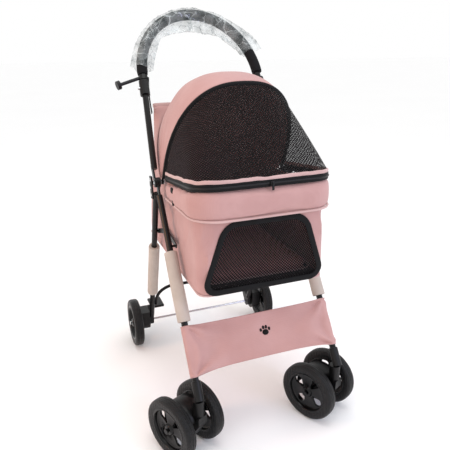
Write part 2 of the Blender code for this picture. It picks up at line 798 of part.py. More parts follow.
def cabin_ring(z, inset=0.0):
    share = (z - CABIN_BOTTOM_Z) / (CABIN_TOP_Z - CABIN_BOTTOM_Z)
    corner = CABIN_LOW_CORNER + (CABIN_TOP_CORNER - CABIN_LOW_CORNER) * share - inset * 0.5
    front = CABIN_FRONT_Y + inset
    return rounded_rectangle(CABIN_HALF_WIDTH - inset, front, rear_wall_y(z) - inset, corner, z)


def window_outline(grow):
    """The front opening: a wide foot, sides that lean in and rounded corners."""
    low, high = WINDOW_LOW_Z, WINDOW_TOP_Z
    lean = math.atan2(WINDOW_BOTTOM_HALF - WINDOW_TOP_HALF, high - low)
    foot = (WINDOW_BOTTOM_HALF - WINDOW_FOOT_ROUND, low + WINDOW_FOOT_ROUND)
    head = (WINDOW_TOP_HALF - WINDOW_HEAD_ROUND / 2, high - WINDOW_HEAD_ROUND)
    right = circle(WINDOW_FOOT_ROUND + grow, foot, 6, -math.pi / 2, math.pi / 2 + lean, True)
    right += circle(WINDOW_HEAD_ROUND + grow, head, 7, lean, math.pi / 2 - lean, True)
    left = [(-x, z) for x, z in reversed(right)]
    return right + left


def build_cabin():
    """A cloth tub with an open top and a window in its front wall."""
    levels = (CABIN_BOTTOM_Z, CABIN_BOTTOM_Z + 0.006, CABIN_TOP_Z)
    insets = (0.006, 0.0, 0.0)
    shell = loft("cabin_shell", [cabin_ring(z, inset) for z, inset in zip(levels, insets)], closed=False)
    wall = shell.modifiers.new("wall", "SOLIDIFY")
    wall.thickness = CABIN_WALL
    wall.offset = -1
    wall.use_even_offset = True
    add(shell, PINK)
    across, up = Vector((1, 0, 0)), Vector((0, 0, 1))
    front = Vector((0, CABIN_FRONT_Y, 0))
    cutter = plate("window_cut", [window_outline(FIT)], 0.04, across, up, front)
    combine(shell, cutter, "DIFFERENCE")
    inwards = Vector((0, CABIN_WALL / 2, 0))
    screen = plate("front_window", [window_outline(0)], CABIN_WALL / 2, across, up, front + inwards)
    add_curve(screen, MESH)
    edges = [window_outline(WINDOW_BINDING / 2), window_outline(-WINDOW_BINDING / 2)]
    outwards = Vector((0, -WINDOW_BINDING_THICKNESS / 2 - FIT, 0))
    binding = plate("window_binding", edges, WINDOW_BINDING_THICKNESS, across, up, front + outwards)
    add_curve(binding, TAPE)


def build_cabin_inside():
    """A stiff board on the cabin floor and the cushion that lies on it."""
    inset = CABIN_WALL + 0.004
    low = CABIN_BOTTOM_Z + CABIN_WALL + FIT
    rear = rear_wall_y(low + BOARD_THICKNESS + CUSHION_THICKNESS) - inset
    half = CABIN_HALF_WIDTH - inset
    front = CABIN_FRONT_Y + inset
    edge = [(point.x, point.y) for point in rounded_rectangle(half, front, rear, CABIN_LOW_CORNER, 0)]
    middle = Vector((0, 0, low + BOARD_THICKNESS / 2))
    board = plate("floor_board", [edge], BOARD_THICKNESS, Vector((1, 0, 0)), Vector((0, 1, 0)), middle)
    add_curve(board, PLASTIC)
    base = low + BOARD_THICKNESS + FIT
    high = Vector((half, rear, base + CUSHION_THICKNESS))
    cushion = box("cushion", Vector((-half, front, base)), high, 0.009, 3)
    smooth(add(cushion, PINK_LINING))


def rear_panel_y(z):
    share = (z - CABIN_TOP_Z) / (REAR_PANEL_TOP_Z - CABIN_TOP_Z)
    return CABIN_REAR_TOP_Y - 0.002 + (REAR_PANEL_TOP_Y - CABIN_REAR_TOP_Y) * share


def build_rear_panel():
    """The back of the cabin, drawn up towards the handle, with a wing on each side to the dome."""
    rows = []
    for i in range(6):
        z = CABIN_TOP_Z + 0.003 + (REAR_PANEL_TOP_Z - CABIN_TOP_Z - 0.003) * i / 5
        height = (z - HINGE_Z) / math.cos(HOOD_REAR_TILT)
        wing_x = arch_half_width(height, HOOD_REAR_HEIGHT) + 0.003
        wing_y = HINGE_Y - (z - HINGE_Z) * math.tan(HOOD_REAR_TILT) + 0.009
        back = rear_panel_y(z)
        half = REAR_PANEL_HALF
        right = [
            Vector((wing_x, min(wing_y, back - 0.004), z)),
            Vector((half, max(back - REAR_PANEL_CORNER, wing_y), z)),
            Vector((half - 0.006, back - 0.007, z)),
            Vector((half - REAR_PANEL_CORNER, back, z)),
        ]
        left = [Vector((-point.x, point.y, point.z)) for point in reversed(right)]
        rows.append(right + [Vector((0, back + 0.004, z))] + left)
    smooth(add(sheet("rear_panel", rows, CABIN_WALL / 2), PINK), 50)


# --- Padded rim and zip ---------------------------------------------------------------------------


def rim_height(y):
    return RIM_FRONT_Z - RIM_SLOPE * (y - RIM_FRONT_Y)


def rim_line(inset_side, inset_front, corner=None, per_corner=7):
    """The rim's course from the left hinge round the front to the right one, as (x, y) points."""
    x, front = RIM_OUTER_X - inset_side, RIM_FRONT_Y + inset_front
    corner_x = corner or RIM_CORNER - inset_side
    corner_y = corner or RIM_CORNER - inset_front
    half = [(x, RIM_BACK_Y), (x, (RIM_BACK_Y + front + corner_y) / 2)]
    for i in range(per_corner):
        angle = math.pi / 2 * i / (per_corner - 1)
        half.append((x - corner_x * (1 - math.cos(angle)), front + corner_y * (1 - math.sin(angle))))
    return [(-px, py) for px, py in half] + [(0, front)] + list(reversed(half))


RIM_INNER_FRONT = CABIN_FRONT_Y - RIM_FRONT_Y - 0.004
RIM_INNER_SIDE = RIM_OUTER_X - CABIN_HALF_WIDTH - 0.001
RIM_INNER_CORNER = CABIN_TOP_CORNER - 0.003


def build_rim_roll():
    """The padded roll: each section is fuller outside and flat against the cabin."""
    outer = rim_line(0, 0)
    bulge_mid = rim_line(0.0015, 0.004)
    inner = rim_line(RIM_INNER_SIDE, RIM_INNER_FRONT, RIM_INNER_CORNER)
    rings = []
    for (ox, oy), (mx, my), (ix, iy) in zip(outer, bulge_mid, inner):
        top = rim_height(oy) - TAPE_HEIGHT / 2 - 0.001
        low = RIM_LOW_Z - RIM_LOW_SLOPE * (oy - RIM_FRONT_Y)
        tall = top - low
        rings.append(
            [
                Vector((ix, iy, low)),
                Vector(((ix + mx) / 2, (iy + my) / 2, low - 0.001)),
                Vector((mx, my, low + tall * 0.18)),
                Vector((ox, oy, low + tall * 0.5)),
                Vector((mx, my, low + tall * 0.84)),
                Vector(((ix + mx) / 2, (iy + my) / 2, top)),
                Vector((ix, iy, top)),
            ]
        )
    smooth(add(loft("rim_roll", rings), PINK), 50)


def band(name, inset_side, inset_front, low, high, thickness, finish):
    """An upright band that follows the rim between two heights above the roll."""
    outside = rim_line(inset_side, inset_front)
    inside = rim_line(inset_side + thickness, inset_front + thickness)
    rings = []
    for (ox, oy), (ix, iy) in zip(outside, inside):
        base = rim_height(oy)
        rings.append(
            [
                Vector((ix, iy, base + low)),
                Vector((ox, oy, base + low)),
                Vector((ox, oy, base + high)),
                Vector((ix, iy, base + high)),
            ]
        )
    return add(loft(name, rings), finish)


def build_zip():
    band("rim_tape", TAPE_INSET, TAPE_INSET, -TAPE_HEIGHT / 2 + FIT, TAPE_HEIGHT / 2, TAPE_THICKNESS, TAPE)
    body = empty("zip_slider_axis", Vector((0, RIM_FRONT_Y, RIM_FRONT_Z)))
    y = RIM_FRONT_Y + TAPE_INSET
    slider = box(
        "zip_slider",
        Vector((-0.004, y - 0.0045, RIM_FRONT_Z - 0.005)),
        Vector((0.004, y - FIT, RIM_FRONT_Z + 0.005)),
        0.001,
        1,
    )
    add(slider, CHROME, body)


# --- Hood -----------------------------------------------------------------------------------------


def arch_half_width(rise, height):
    """Half the width of the hood's arch at a rise above the hinge."""
    return BOW_HALF_WIDTH * (1 - min(0.98, rise / height) ** BOW_POWER) ** (1 / BOW_POWER)


def arch(half, height, tilt, shift_y=0.0, base=HOOD_BASE, count=17):
    """Points over an arch that stands on the hinge axis and leans forward by tilt."""
    up = Vector((0, -math.sin(tilt), math.cos(tilt)))
    points = []
    for i in range(count):
        angle = math.pi * i / (count - 1)
        x = -half * math.copysign(abs(math.cos(angle)) ** (2 / BOW_POWER), math.cos(angle))
        rise = base + (height - base) * abs(math.sin(angle)) ** (2 / BOW_POWER)
        points.append(HINGE + Vector((x, shift_y, 0)) + up * rise)
    return points


def build_bow():
    """The spring wire that carries the hood's front edge, with an eye on each hinge rivet."""
    wire = arch(BOW_HALF_WIDTH, BOW_HEIGHT, BOW_TILT)
    up = Vector((0, -math.sin(BOW_TILT), math.cos(BOW_TILT)))
    ends = [Vector((x, HINGE_Y, HINGE_Z)) + up * 0.005 for x in (-BOW_EYE_X, BOW_EYE_X)]
    bow = as_mesh(tube("hood_bow", [ends[0], *wire, ends[1]], BOW_RADIUS, 2))
    for _, side in SIDES:
        eye = plate(
            "eye",
            [circle(0.0065, count=16), circle(PIN_RADIUS + PIN_CLEARANCE, count=12)],
            BOW_RADIUS * 2,
            Vector((0, 1, 0)),
            Vector((0, 0, 1)),
            side_point(BOW_EYE_X, HINGE_Y, HINGE_Z, side),
        )
        combine(bow, eye, "UNION")
        bore = cylinder(
            "bore",
            PIN_RADIUS + PIN_CLEARANCE,
            side_point(BOW_EYE_X - 0.006, HINGE_Y, HINGE_Z, side),
            side_point(BOW_EYE_X + 0.006, HINGE_Y, HINGE_Z, side),
            12,
        )
        combine(bow, bore, "DIFFERENCE")
    smooth(add(bow, STEEL_BLACK, HOOD))


def build_hood():
    """The cloth dome behind the bow and the mesh that runs from the bow to the zip."""
    steps = 6
    rows = []
    for i in range(steps + 1):
        share = i / steps
        tilt = BOW_TILT + (HOOD_REAR_TILT - BOW_TILT) * share
        height = BOW_HEIGHT + (HOOD_REAR_HEIGHT - BOW_HEIGHT) * share
        rows.append(arch(BOW_HALF_WIDTH, height, tilt, HOOD_GAP * (1 - share)))
    smooth(add(sheet("hood_dome", rows, HOOD_FABRIC), PINK), 60)
    top = arch(BOW_HALF_WIDTH, BOW_HEIGHT, BOW_TILT, -HOOD_GAP)
    bottom = []
    hem = rim_line(TAPE_INSET + TAPE_THICKNESS / 2, TAPE_INSET + TAPE_THICKNESS / 2)
    lengths = [0.0]
    for (x0, y0), (x1, y1) in zip(hem, hem[1:]):
        lengths.append(lengths[-1] + math.hypot(x1 - x0, y1 - y0))
    for i in range(len(top)):
        target = lengths[-1] * i / (len(top) - 1)
        k = max(j for j in range(len(lengths) - 1) if lengths[j] <= target + 1e-9)
        part = (target - lengths[k]) / (lengths[k + 1] - lengths[k])
        x = hem[k][0] + (hem[k + 1][0] - hem[k][0]) * part
        y = hem[k][1] + (hem[k + 1][1] - hem[k][1]) * part
        bottom.append(Vector((x, y, rim_height(y) + TAPE_HEIGHT / 2 + 0.002)))
    screen_rows = []
    for i in range(6):
        share = i / 5
        screen_rows.append([a.lerp(b, share) for a, b in zip(top, bottom)])
    smooth(add(sheet("hood_mesh", screen_rows, HOOD_FABRIC), MESH), 60)


# --- Handle ---------------------------------------------------------------------------------------


def post_x(distance):
    """The posts lean in a little from the hinge to the foot of the arch."""
    return LEG_X + (ARCH_HALF - LEG_X) * (distance - TUBE_START) / (ARCH_START - TUBE_START)


def arch_path(start, count=17):
    """The handle's centre line from a height on the left post over the top to the right post."""
    first = 0.0
    if start > ARCH_START:
        first = math.asin((start - ARCH_START) / ARCH_RISE)
    points = [along(POST_UP, start, -post_x(start))] if start < ARCH_START else []
    for i in range(count):
        angle = first + (math.pi - 2 * first) * i / (count - 1)
        points.append(along(POST_UP, ARCH_START + ARCH_RISE * math.sin(angle), -ARCH_HALF * math.cos(angle)))
    if start < ARCH_START:
        points.append(along(POST_UP, start, post_x(start)))
    return points


def build_handle():
    middle = (COLLAR_LOW + COLLAR_HIGH) / 2
    for word, side in SIDES:
        straight_leg(
            f"handle_post_{word}",
            POST_UP,
            LEG_X,
            post_x(middle),
            middle - FIT,
            POST_LUG_X,
            side,
            STEEL_BLACK,
            HANDLE,
        )
        ends = [along(POST_UP, distance, post_x(distance), side) for distance in (COLLAR_LOW, COLLAR_HIGH)]
        collar = as_mesh(sleeve(f"handle_collar_{word}", ends, COLLAR_RADIUS, TUBE_RADIUS + COLLAR_PLAY, 4))
        add(collar, PLASTIC, HANDLE)
        spot = along(POST_UP, middle, post_x(middle), side)
        outward = Vector((side, 0, 0))
        hole = cylinder("hole", BUTTON_RADIUS + FIT, spot + outward * 0.0095, spot + outward * 0.03, 14)
        combine(collar, hole, "DIFFERENCE")
        smooth(collar)
        face = COLLAR_RADIUS + BUTTON_HEIGHT - 0.0003
        body = empty(f"handle_button_axis_{word}", spot + outward * face)
        foot = spot + outward * (COLLAR_RADIUS - 0.0004)
        button = cylinder(f"handle_button_{word}", BUTTON_RADIUS, foot, spot + outward * face, 14)
        smooth(add(button, CHROME, body))
    arch_tube = tube("handle_arch", arch_path(middle + FIT), TUBE_RADIUS)
    smooth(add_curve(arch_tube, STEEL_BLACK, HANDLE))
    grip = sleeve("handle_grip", arch_path(GRIP_START), GRIP_RADIUS, GRIP_BORE)
    smooth(add_curve(grip, GRIP, HANDLE))
    wrapped = arch_path(GRIP_START + 0.004, 19)[:-3]
    film = sleeve("grip_film", wrapped, FILM_RADIUS, FILM_RADIUS - FILM_THICKNESS, 2)
    smooth(add_curve(film, FILM, HANDLE))


def build_accessory_arm():
    """A clamp round the left tube with a short peg and its round end, for a cup or a bag."""
    low = along(POST_UP, CLAMP_LOW, post_x(CLAMP_LOW), -1)
    high = along(POST_UP, CLAMP_HIGH, post_x(CLAMP_HIGH), -1)
    arm = as_mesh(sleeve("accessory_arm", [low, high], TUBE_RADIUS + 0.004, TUBE_RADIUS + FIT))
    add(arm, PLASTIC, HANDLE)
    start = (low + high) / 2 + Vector((-TUBE_RADIUS - 0.002, 0, 0))
    end = start + Vector((-ARM_LENGTH, -0.010, -0.016))
    way = (end - start).normalized()
    combine(arm, cylinder("rod", ARM_RADIUS, start, end, 12), "UNION")
    combine(arm, cylinder("knob", KNOB_RADIUS, end - way * 0.004, end + way * 0.005, 16), "UNION")
    smooth(arm)


def build_straps():
    """Webbing that hangs the cabin's back from each handle post."""
    width, thickness = 0.011, 0.0015
    for word, side in SIDES:
        top = along(POST_UP, GRIP_START - 0.008, ARCH_HALF - TUBE_RADIUS - 0.006, side)
        foot = Vector(((REAR_PANEL_HALF + 0.004) * side, REAR_PANEL_TOP_Y - 0.012, REAR_PANEL_TOP_Z - 0.012))
        rings = []
        for i in range(6):
            share = i / 5
            spot = top.lerp(foot, share) + Vector((0, 0.006, -0.004)) * math.sin(math.pi * share)
            across = Vector((0, -width / 2, -width / 4))
            depth = Vector((thickness / 2, 0, 0))
            near = [spot - across - depth, spot + across - depth]
            far = [spot + across + depth, spot - across + depth]
            rings.append(near + far)
        add(loft(f"strap_{word}", rings), TAPE)


build_legs()
build_hinges()
build_foam()
build_front_panel()
build_casters()
build_rear_axle()
build_crossbar()
build_braces()
build_cabin()
build_cabin_inside()
build_rear_panel()
build_rim_roll()
build_zip()
build_bow()
build_hood()
build_handle()
build_accessory_arm()
build_straps()
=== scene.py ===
# %% [markdown]
# # A folding pet stroller
#
# The steel frame, the wheels' places and every joint come from a imported model. This lesson dresses
# that frame: it sews the cabin, the padded rim, the hood and the panels, moulds the wheels, wraps
# the grip in film, and gives every surface a finish made from nodes. First the frame is loaded.

import json
import math

import bmesh
import bpy
from mathutils import Matrix, Vector, noise


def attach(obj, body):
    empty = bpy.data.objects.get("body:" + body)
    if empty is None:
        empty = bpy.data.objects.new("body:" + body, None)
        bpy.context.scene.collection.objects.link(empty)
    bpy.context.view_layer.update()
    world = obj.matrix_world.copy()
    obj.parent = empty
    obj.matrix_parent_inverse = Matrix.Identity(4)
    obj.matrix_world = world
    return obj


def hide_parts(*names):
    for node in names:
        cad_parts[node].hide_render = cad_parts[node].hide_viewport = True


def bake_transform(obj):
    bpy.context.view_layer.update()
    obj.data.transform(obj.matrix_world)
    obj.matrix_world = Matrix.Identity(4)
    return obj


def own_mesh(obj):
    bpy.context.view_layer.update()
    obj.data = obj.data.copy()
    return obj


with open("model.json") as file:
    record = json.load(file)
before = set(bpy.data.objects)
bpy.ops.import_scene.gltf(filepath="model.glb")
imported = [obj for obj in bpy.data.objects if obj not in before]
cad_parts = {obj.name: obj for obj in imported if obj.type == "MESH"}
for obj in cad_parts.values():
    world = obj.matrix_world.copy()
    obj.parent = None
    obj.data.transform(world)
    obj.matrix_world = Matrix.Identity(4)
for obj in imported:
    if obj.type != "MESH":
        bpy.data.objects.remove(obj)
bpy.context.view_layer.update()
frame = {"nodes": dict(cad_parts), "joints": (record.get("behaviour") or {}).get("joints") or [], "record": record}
joints = {joint["name"]: joint for joint in frame["joints"]}

# %% [markdown]
# The stroller is the same on both sides of one upright plane, apart from its peg. The pieces are
# drawn about that plane, with the front towards -Y, and each finished mesh is then moved by MIDDLE
# to where the frame stands. The sizes are those of the frame that the cloth is sewn to.

# %% Sizes of the frame
MIDDLE = Vector((0.01955, -0.01782, 0))
HINGE = Vector((0, 0.0325, 0.595))
LEG_X = 0.183
LEG_RADIUS = 0.008
FRONT_TILT = math.radians(35.3)
REAR_TILT = math.radians(24.2)
POST_TILT = math.radians(32.8)
FRONT_DOWN = Vector((0, -math.sin(FRONT_TILT), -math.cos(FRONT_TILT)))
REAR_DOWN = Vector((0, math.sin(REAR_TILT), -math.cos(REAR_TILT)))
POST_UP = Vector((0, math.sin(POST_TILT), math.cos(POST_TILT)))
SIDES = (("left", -1), ("right", 1))

# %% [markdown]
# ## Small tools
# Cloth, film and tape are all surfaces with two directions, so they start from one grid whose
# corners run from 0 to 1 and are then laid in place. The grid keeps a UV map in metres, which lets
# a weave or a mesh keep its real size wherever the cloth bends. A grid whose edges meet is welded
# into a tube, and open ends of a tube are capped.


# %% Lay a grid in place
def laid_grid(across, along, place, width=1.0, length=1.0, tube=False, ring=False, capped=True):
    shape = bmesh.new()
    bmesh.ops.create_grid(shape, x_segments=across, y_segments=along, size=0.5)
    weave = shape.loops.layers.uv.new("weave")
    for face in shape.faces:
        for loop in face.loops:
            loop[weave].uv = ((loop.vert.co.x + 0.5) * width, (loop.vert.co.y + 0.5) * length)
    for vert in shape.verts:
        vert.co = place(vert.co.x + 0.5, vert.co.y + 0.5)
    if tube or ring:
        bmesh.ops.remove_doubles(shape, verts=shape.verts, dist=0.000005)
    if tube and capped and not ring:
        bmesh.ops.holes_fill(shape, edges=shape.edges, sides=0)
    if tube:
        bmesh.ops.recalc_face_normals(shape, faces=shape.faces)
    return shape


# %% [markdown]
# A finished piece is a mesh at the origin, painted, moved to the frame and told which body of the
# frame carries it. Cloth gets its thickness from a Solidify modifier, which keeps the sheet easy to
# bend afterwards.


# %% Finish a piece
def piece(name, shape, finish, body=None, stands_for=(), smooth=True):
    bmesh.ops.translate(shape, verts=shape.verts, vec=MIDDLE)
    mesh = bpy.data.meshes.new(name)
    shape.to_mesh(mesh)
    shape.free()
    mesh.materials.append(finish)
    if smooth:
        mesh.shade_smooth()
        mesh.set_sharp_from_angle(angle=math.radians(42))
    made = bpy.data.objects.new(name, mesh)
    bpy.context.scene.collection.objects.link(made)
    if body:
        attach(made, body)
    if stands_for:
        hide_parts(*stands_for)
    print(name, len(mesh.polygons), "faces")
    return made


def thicken(made, thickness, offset=0.0):
    wall = made.modifiers.new("cloth", "SOLIDIFY")
    wall.thickness = thickness
    wall.offset = offset
    return made


# %% [markdown]
# Tapes, rods and piping are one section carried along a path. The section's first direction lies
# across the path and its second one along `up`, so a tape stays flat on the cloth under it.


# %% Carry a section along a path
def sweep(points, section, up, closed=False, tapered=None):
    count = len(points)
    frames = []
    for i, point in enumerate(points):
        before = points[i - 1] if closed or i else point
        after = points[(i + 1) % count] if closed or i + 1 < count else point
        forward = (after - before).normalized()
        out = forward.cross(up).normalized()
        frames.append((point, out, out.cross(forward)))
    length = sum((b - a).length for a, b in zip(points, points[1:]))

    def place(u, v):
        i = round(v * (count if closed else count - 1))
        point, out, high = frames[i % count]
        a, b = section[round(u * len(section)) % len(section)]
        size = tapered(i / count) if tapered else 1.0
        return point + (out * a + high * b) * size

    steps = count if closed else count - 1
    girth = sum(math.dist(a, b) for a, b in zip(section, section[1:] + section[:1]))
    return laid_grid(len(section), steps, place, girth, length, tube=True, ring=closed)


def oval(width, height, count=12, squareness=1.0):
    """A rounded section: squareness under 1 makes it fuller at its corners."""
    ring = []
    for i in range(count):
        angle = 2 * math.pi * i / count
        c, s = math.cos(angle), math.sin(angle)
        x = math.copysign(abs(c) ** squareness, c) * width / 2
        ring.append((x, math.copysign(abs(s) ** squareness, s) * height / 2))
    return ring


def resampled(points, count, closed=False):
    """The same line, drawn with evenly spaced points."""
    line = list(points) + ([points[0]] if closed else [])
    lengths = [0.0]
    for a, b in zip(line, line[1:]):
        lengths.append(lengths[-1] + (b - a).length)
    made = []
    k = 0
    for i in range(count):
        target = lengths[-1] * i / (count if closed else count - 1)
        while k < len(line) - 2 and lengths[k + 1] < target:
            k += 1
        stretch = max(1e-9, lengths[k + 1] - lengths[k])
        made.append(line[k].lerp(line[k + 1], (target - lengths[k]) / stretch))
    return made


def ripple(point, size, seed=0.0):
    """Smooth unevenness between -1 and 1, in folds of about this size in metres."""
    return noise.noise(point / size + Vector((seed, seed * 1.7, -seed)))


# %% [markdown]
# ## Finishes
# Each finish starts from what the real surface is. One function turns the sRGB colours that a
# colour picker shows into the linear ones that the renderer mixes, and one adds a node with its
# settings and its links.


# %% Colours and nodes
def colour(code):
    channels = [int(code[i : i + 2], 16) / 255 for i in (1, 3, 5)]
    return (*[c / 12.92 if c <= 0.04045 else ((c + 0.055) / 1.055) ** 2.4 for c in channels], 1.0)


def node(tree, kind, inputs=(), **settings):
    made = tree.nodes.new(kind)
    for name, value in settings.items():
        setattr(made, name, value)
    for name, value in dict(inputs).items():
        if isinstance(value, bpy.types.NodeSocket):
            tree.links.new(value, made.inputs[name])
        else:
            made.inputs[name].default_value = value
    return made


def new_finish(name, base, roughness, **sockets):
    made = bpy.data.materials.new(name)
    made.use_nodes = True
    tree = made.node_tree
    shader = tree.nodes["Principled BSDF"]
    shader.inputs["Base Color"].default_value = colour(base)
    shader.inputs["Roughness"].default_value = roughness
    for socket, value in sockets.items():
        shader.inputs[socket.replace("_", " ")].default_value = value
    return made, tree, shader


# %% [markdown]
# Unevenness is what makes a surface look made rather than drawn. Every cloth here mixes a darker
# and a lighter shade through a slow noise in object coordinates, so it is the same size on all
# pieces.
# The pink cloth is a plain-woven Oxford polyester with a matt face and a little sheen at grazing
# angles. Its threads lie about 0.5 mm apart, too fine to show, so the weave is drawn at 2.5 mm.
# Bands along all three axes cross on any wall of the cabin, and a slower noise under them gives
# the soft dents of cloth that has been packed flat.

# %% Woven pink cloth
BAND = 0.314  # one band of the Wave texture, in its own units


def woven_cloth(name, dark, light, thread=0.0025, sheen=0.15):
    made, tree, shader = new_finish(name, light, 0.8, Sheen_Weight=sheen, Sheen_Roughness=0.5)
    shader.inputs["Specular IOR Level"].default_value = 0.25
    where = node(tree, "ShaderNodeTexCoord").outputs["Object"]
    cloudy = node(tree, "ShaderNodeTexNoise", {"Vector": where, "Scale": 11.0, "Detail": 3.0})
    mixed = node(tree, "ShaderNodeMix", {"Factor": cloudy.outputs["Fac"]}, data_type="RGBA")
    mixed.inputs["A"].default_value = colour(dark)
    mixed.inputs["B"].default_value = colour(light)
    bands = [
        node(
            tree,
            "ShaderNodeTexWave",
            {"Vector": where, "Scale": BAND / thread},
            bands_direction=axis,
        )
        for axis in ("X", "Y", "Z")
    ]
    crossed = node(
        tree,
        "ShaderNodeMath",
        {0: bands[0].outputs["Fac"], 1: bands[1].outputs["Fac"]},
        operation="MULTIPLY",
    )
    weave = node(
        tree,
        "ShaderNodeMath",
        {0: crossed.outputs[0], 1: bands[2].outputs["Fac"]},
        operation="ADD",
    )
    threads = node(
        tree,
        "ShaderNodeMapRange",
        {"Value": weave.outputs[0], "From Max": 2.0, "To Min": 0.93},
    )
    woven = node(
        tree,
        "ShaderNodeMix",
        {"Factor": 1.0, "A": mixed.outputs["Result"]},
        data_type="RGBA",
        blend_type="MULTIPLY",
    )
    tree.links.new(threads.outputs["Result"], woven.inputs["B"])
    tree.links.new(woven.outputs["Result"], shader.inputs["Base Color"])
    dents = node(tree, "ShaderNodeTexNoise", {"Vector": where, "Scale": 20.0, "Detail": 4.0})
    soft = node(
        tree,
        "ShaderNodeBump",
        {"Height": dents.outputs["Fac"], "Distance": 0.005, "Strength": 0.5},
    )
    fine = {
        "Height": weave.outputs[0],
        "Distance": 0.0002,
        "Strength": 0.5,
        "Normal": soft.outputs["Normal"],
    }
    raised = node(tree, "ShaderNodeBump", fine)
    tree.links.new(raised.outputs["Normal"], shader.inputs["Normal"])
    return made


PINK = woven_cloth("pink_oxford_cloth", "#b28682", "#cda4a1")
LINING = woven_cloth("pink_brushed_lining", "#bd8583", "#d39d9b", 0.003)
PIPING = woven_cloth("pale_pink_satin_binding", "#bd9894", "#d6b6b3", 0.0015, 0.3)
print("cloth:", PINK.name, LINING.name, PIPING.name)

# %% [markdown]
# The black screen is a knitted mesh with diamond holes about 2 mm apart. Holes that small would
# only look grey, so they are drawn at 5 mm. A Voronoi texture with no randomness makes an
# even field of dots; turning it 45 degrees gives the diamonds, and its dots become see-through.

# %% Knitted mesh
HOLE_PITCH = 0.005
MESH, tree, shader = new_finish("black_knitted_mesh", "#0e0c0d", 0.8)
shader.inputs["Specular IOR Level"].default_value = 0.2
where = node(tree, "ShaderNodeTexCoord").outputs["UV"]
turned = node(tree, "ShaderNodeMapping", {"Vector": where, "Rotation": (0, 0, math.radians(45))})
dots = node(
    tree,
    "ShaderNodeTexVoronoi",
    {"Vector": turned.outputs["Vector"], "Scale": 1 / HOLE_PITCH, "Randomness": 0.0},
    voronoi_dimensions="2D",
)
thread = node(
    tree,
    "ShaderNodeMapRange",
    {"Value": dots.outputs["Distance"], "From Min": 0.31, "From Max": 0.37, "To Min": 0.28},
)
tree.links.new(thread.outputs["Result"], shader.inputs["Alpha"])
knit = node(
    tree,
    "ShaderNodeBump",
    {"Height": dots.outputs["Distance"], "Distance": 0.0006, "Strength": 0.6},
)
tree.links.new(knit.outputs["Normal"], shader.inputs["Normal"])

# %% [markdown]
# Webbing and binding tape are dense black polyester with diagonal ribs 2 mm apart. The ribs are
# drawn on the tape's own UV map, which is in metres, so they keep their size wherever the tape turns.
# Two rows of stitches run along each tape near its edges; they are not drawn.

# %% Black webbing
WEBBING, tree, shader = new_finish("black_polyester_webbing", "#0b0b0c", 0.75, Sheen_Weight=0.05)
shader.inputs["Specular IOR Level"].default_value = 0.2
where = node(tree, "ShaderNodeTexCoord")
cloudy = node(
    tree,
    "ShaderNodeTexNoise",
    {"Vector": where.outputs["Object"], "Scale": 50.0, "Detail": 3.0},
)
mixed = node(tree, "ShaderNodeMix", {"Factor": cloudy.outputs["Fac"]}, data_type="RGBA")
mixed.inputs["A"].default_value = colour("#060607")
mixed.inputs["B"].default_value = colour("#121214")
tree.links.new(mixed.outputs["Result"], shader.inputs["Base Color"])
ribs = node(
    tree,
    "ShaderNodeTexWave",
    {"Vector": where.outputs["UV"], "Scale": BAND / 0.002, "Distortion": 0.4},
    bands_direction="DIAGONAL",
)
ribbed = node(
    tree,
    "ShaderNodeBump",
    {"Height": ribs.outputs["Fac"], "Distance": 0.0004, "Strength": 0.6},
)
tree.links.new(ribbed.outputs["Normal"], shader.inputs["Normal"])

# %% [markdown]
# The tubes are steel with a satin black powder coat, whose fine orange peel softens the
# reflections. The moulded parts are black nylon with a light grain, and the wheels' hubs are glossy
# polypropylene. One function makes all of them from a grain size and a depth.


# %% Powder coat and moulded plastic
def grained(name, base, roughness, grain, depth, **sockets):
    made, tree, shader = new_finish(name, base, roughness, **sockets)
    if not sockets:
        shader.inputs["Specular IOR Level"].default_value = 0.3
    where = node(tree, "ShaderNodeTexCoord").outputs["Object"]
    peel = node(tree, "ShaderNodeTexNoise", {"Vector": where, "Scale": 1 / grain, "Detail": 2.0})
    raised = node(
        tree,
        "ShaderNodeBump",
        {"Height": peel.outputs["Fac"], "Distance": depth, "Strength": 0.5},
    )
    tree.links.new(raised.outputs["Normal"], shader.inputs["Normal"])
    worn = node(tree, "ShaderNodeTexNoise", {"Vector": where, "Scale": 30.0, "Detail": 4.0})
    spread = node(
        tree,
        "ShaderNodeMapRange",
        {"Value": worn.outputs["Fac"], "To Min": roughness * 0.8, "To Max": roughness * 1.25},
    )
    tree.links.new(spread.outputs["Result"], shader.inputs["Roughness"])
    return made


COAT = grained("satin_black_powder_coat", "#070708", 0.32, 0.0015, 0.0003)
NYLON = grained("moulded_black_nylon", "#080809", 0.4, 0.001, 0.0002)
HUB = grained("glossy_black_polypropylene", "#060607", 0.22, 0.004, 0.0002)
CHROME = grained("zinc_plated_steel", "#c4c6c8", 0.22, 0.0008, 0.00005, Metallic=1.0)
print("hard finishes:", COAT.name, NYLON.name, HUB.name, CHROME.name)

# %% [markdown]
# The wheels' running surface is black EVA with a pebbled tread. A Voronoi texture with cells of
# 3.5 mm stands up as small round studs.

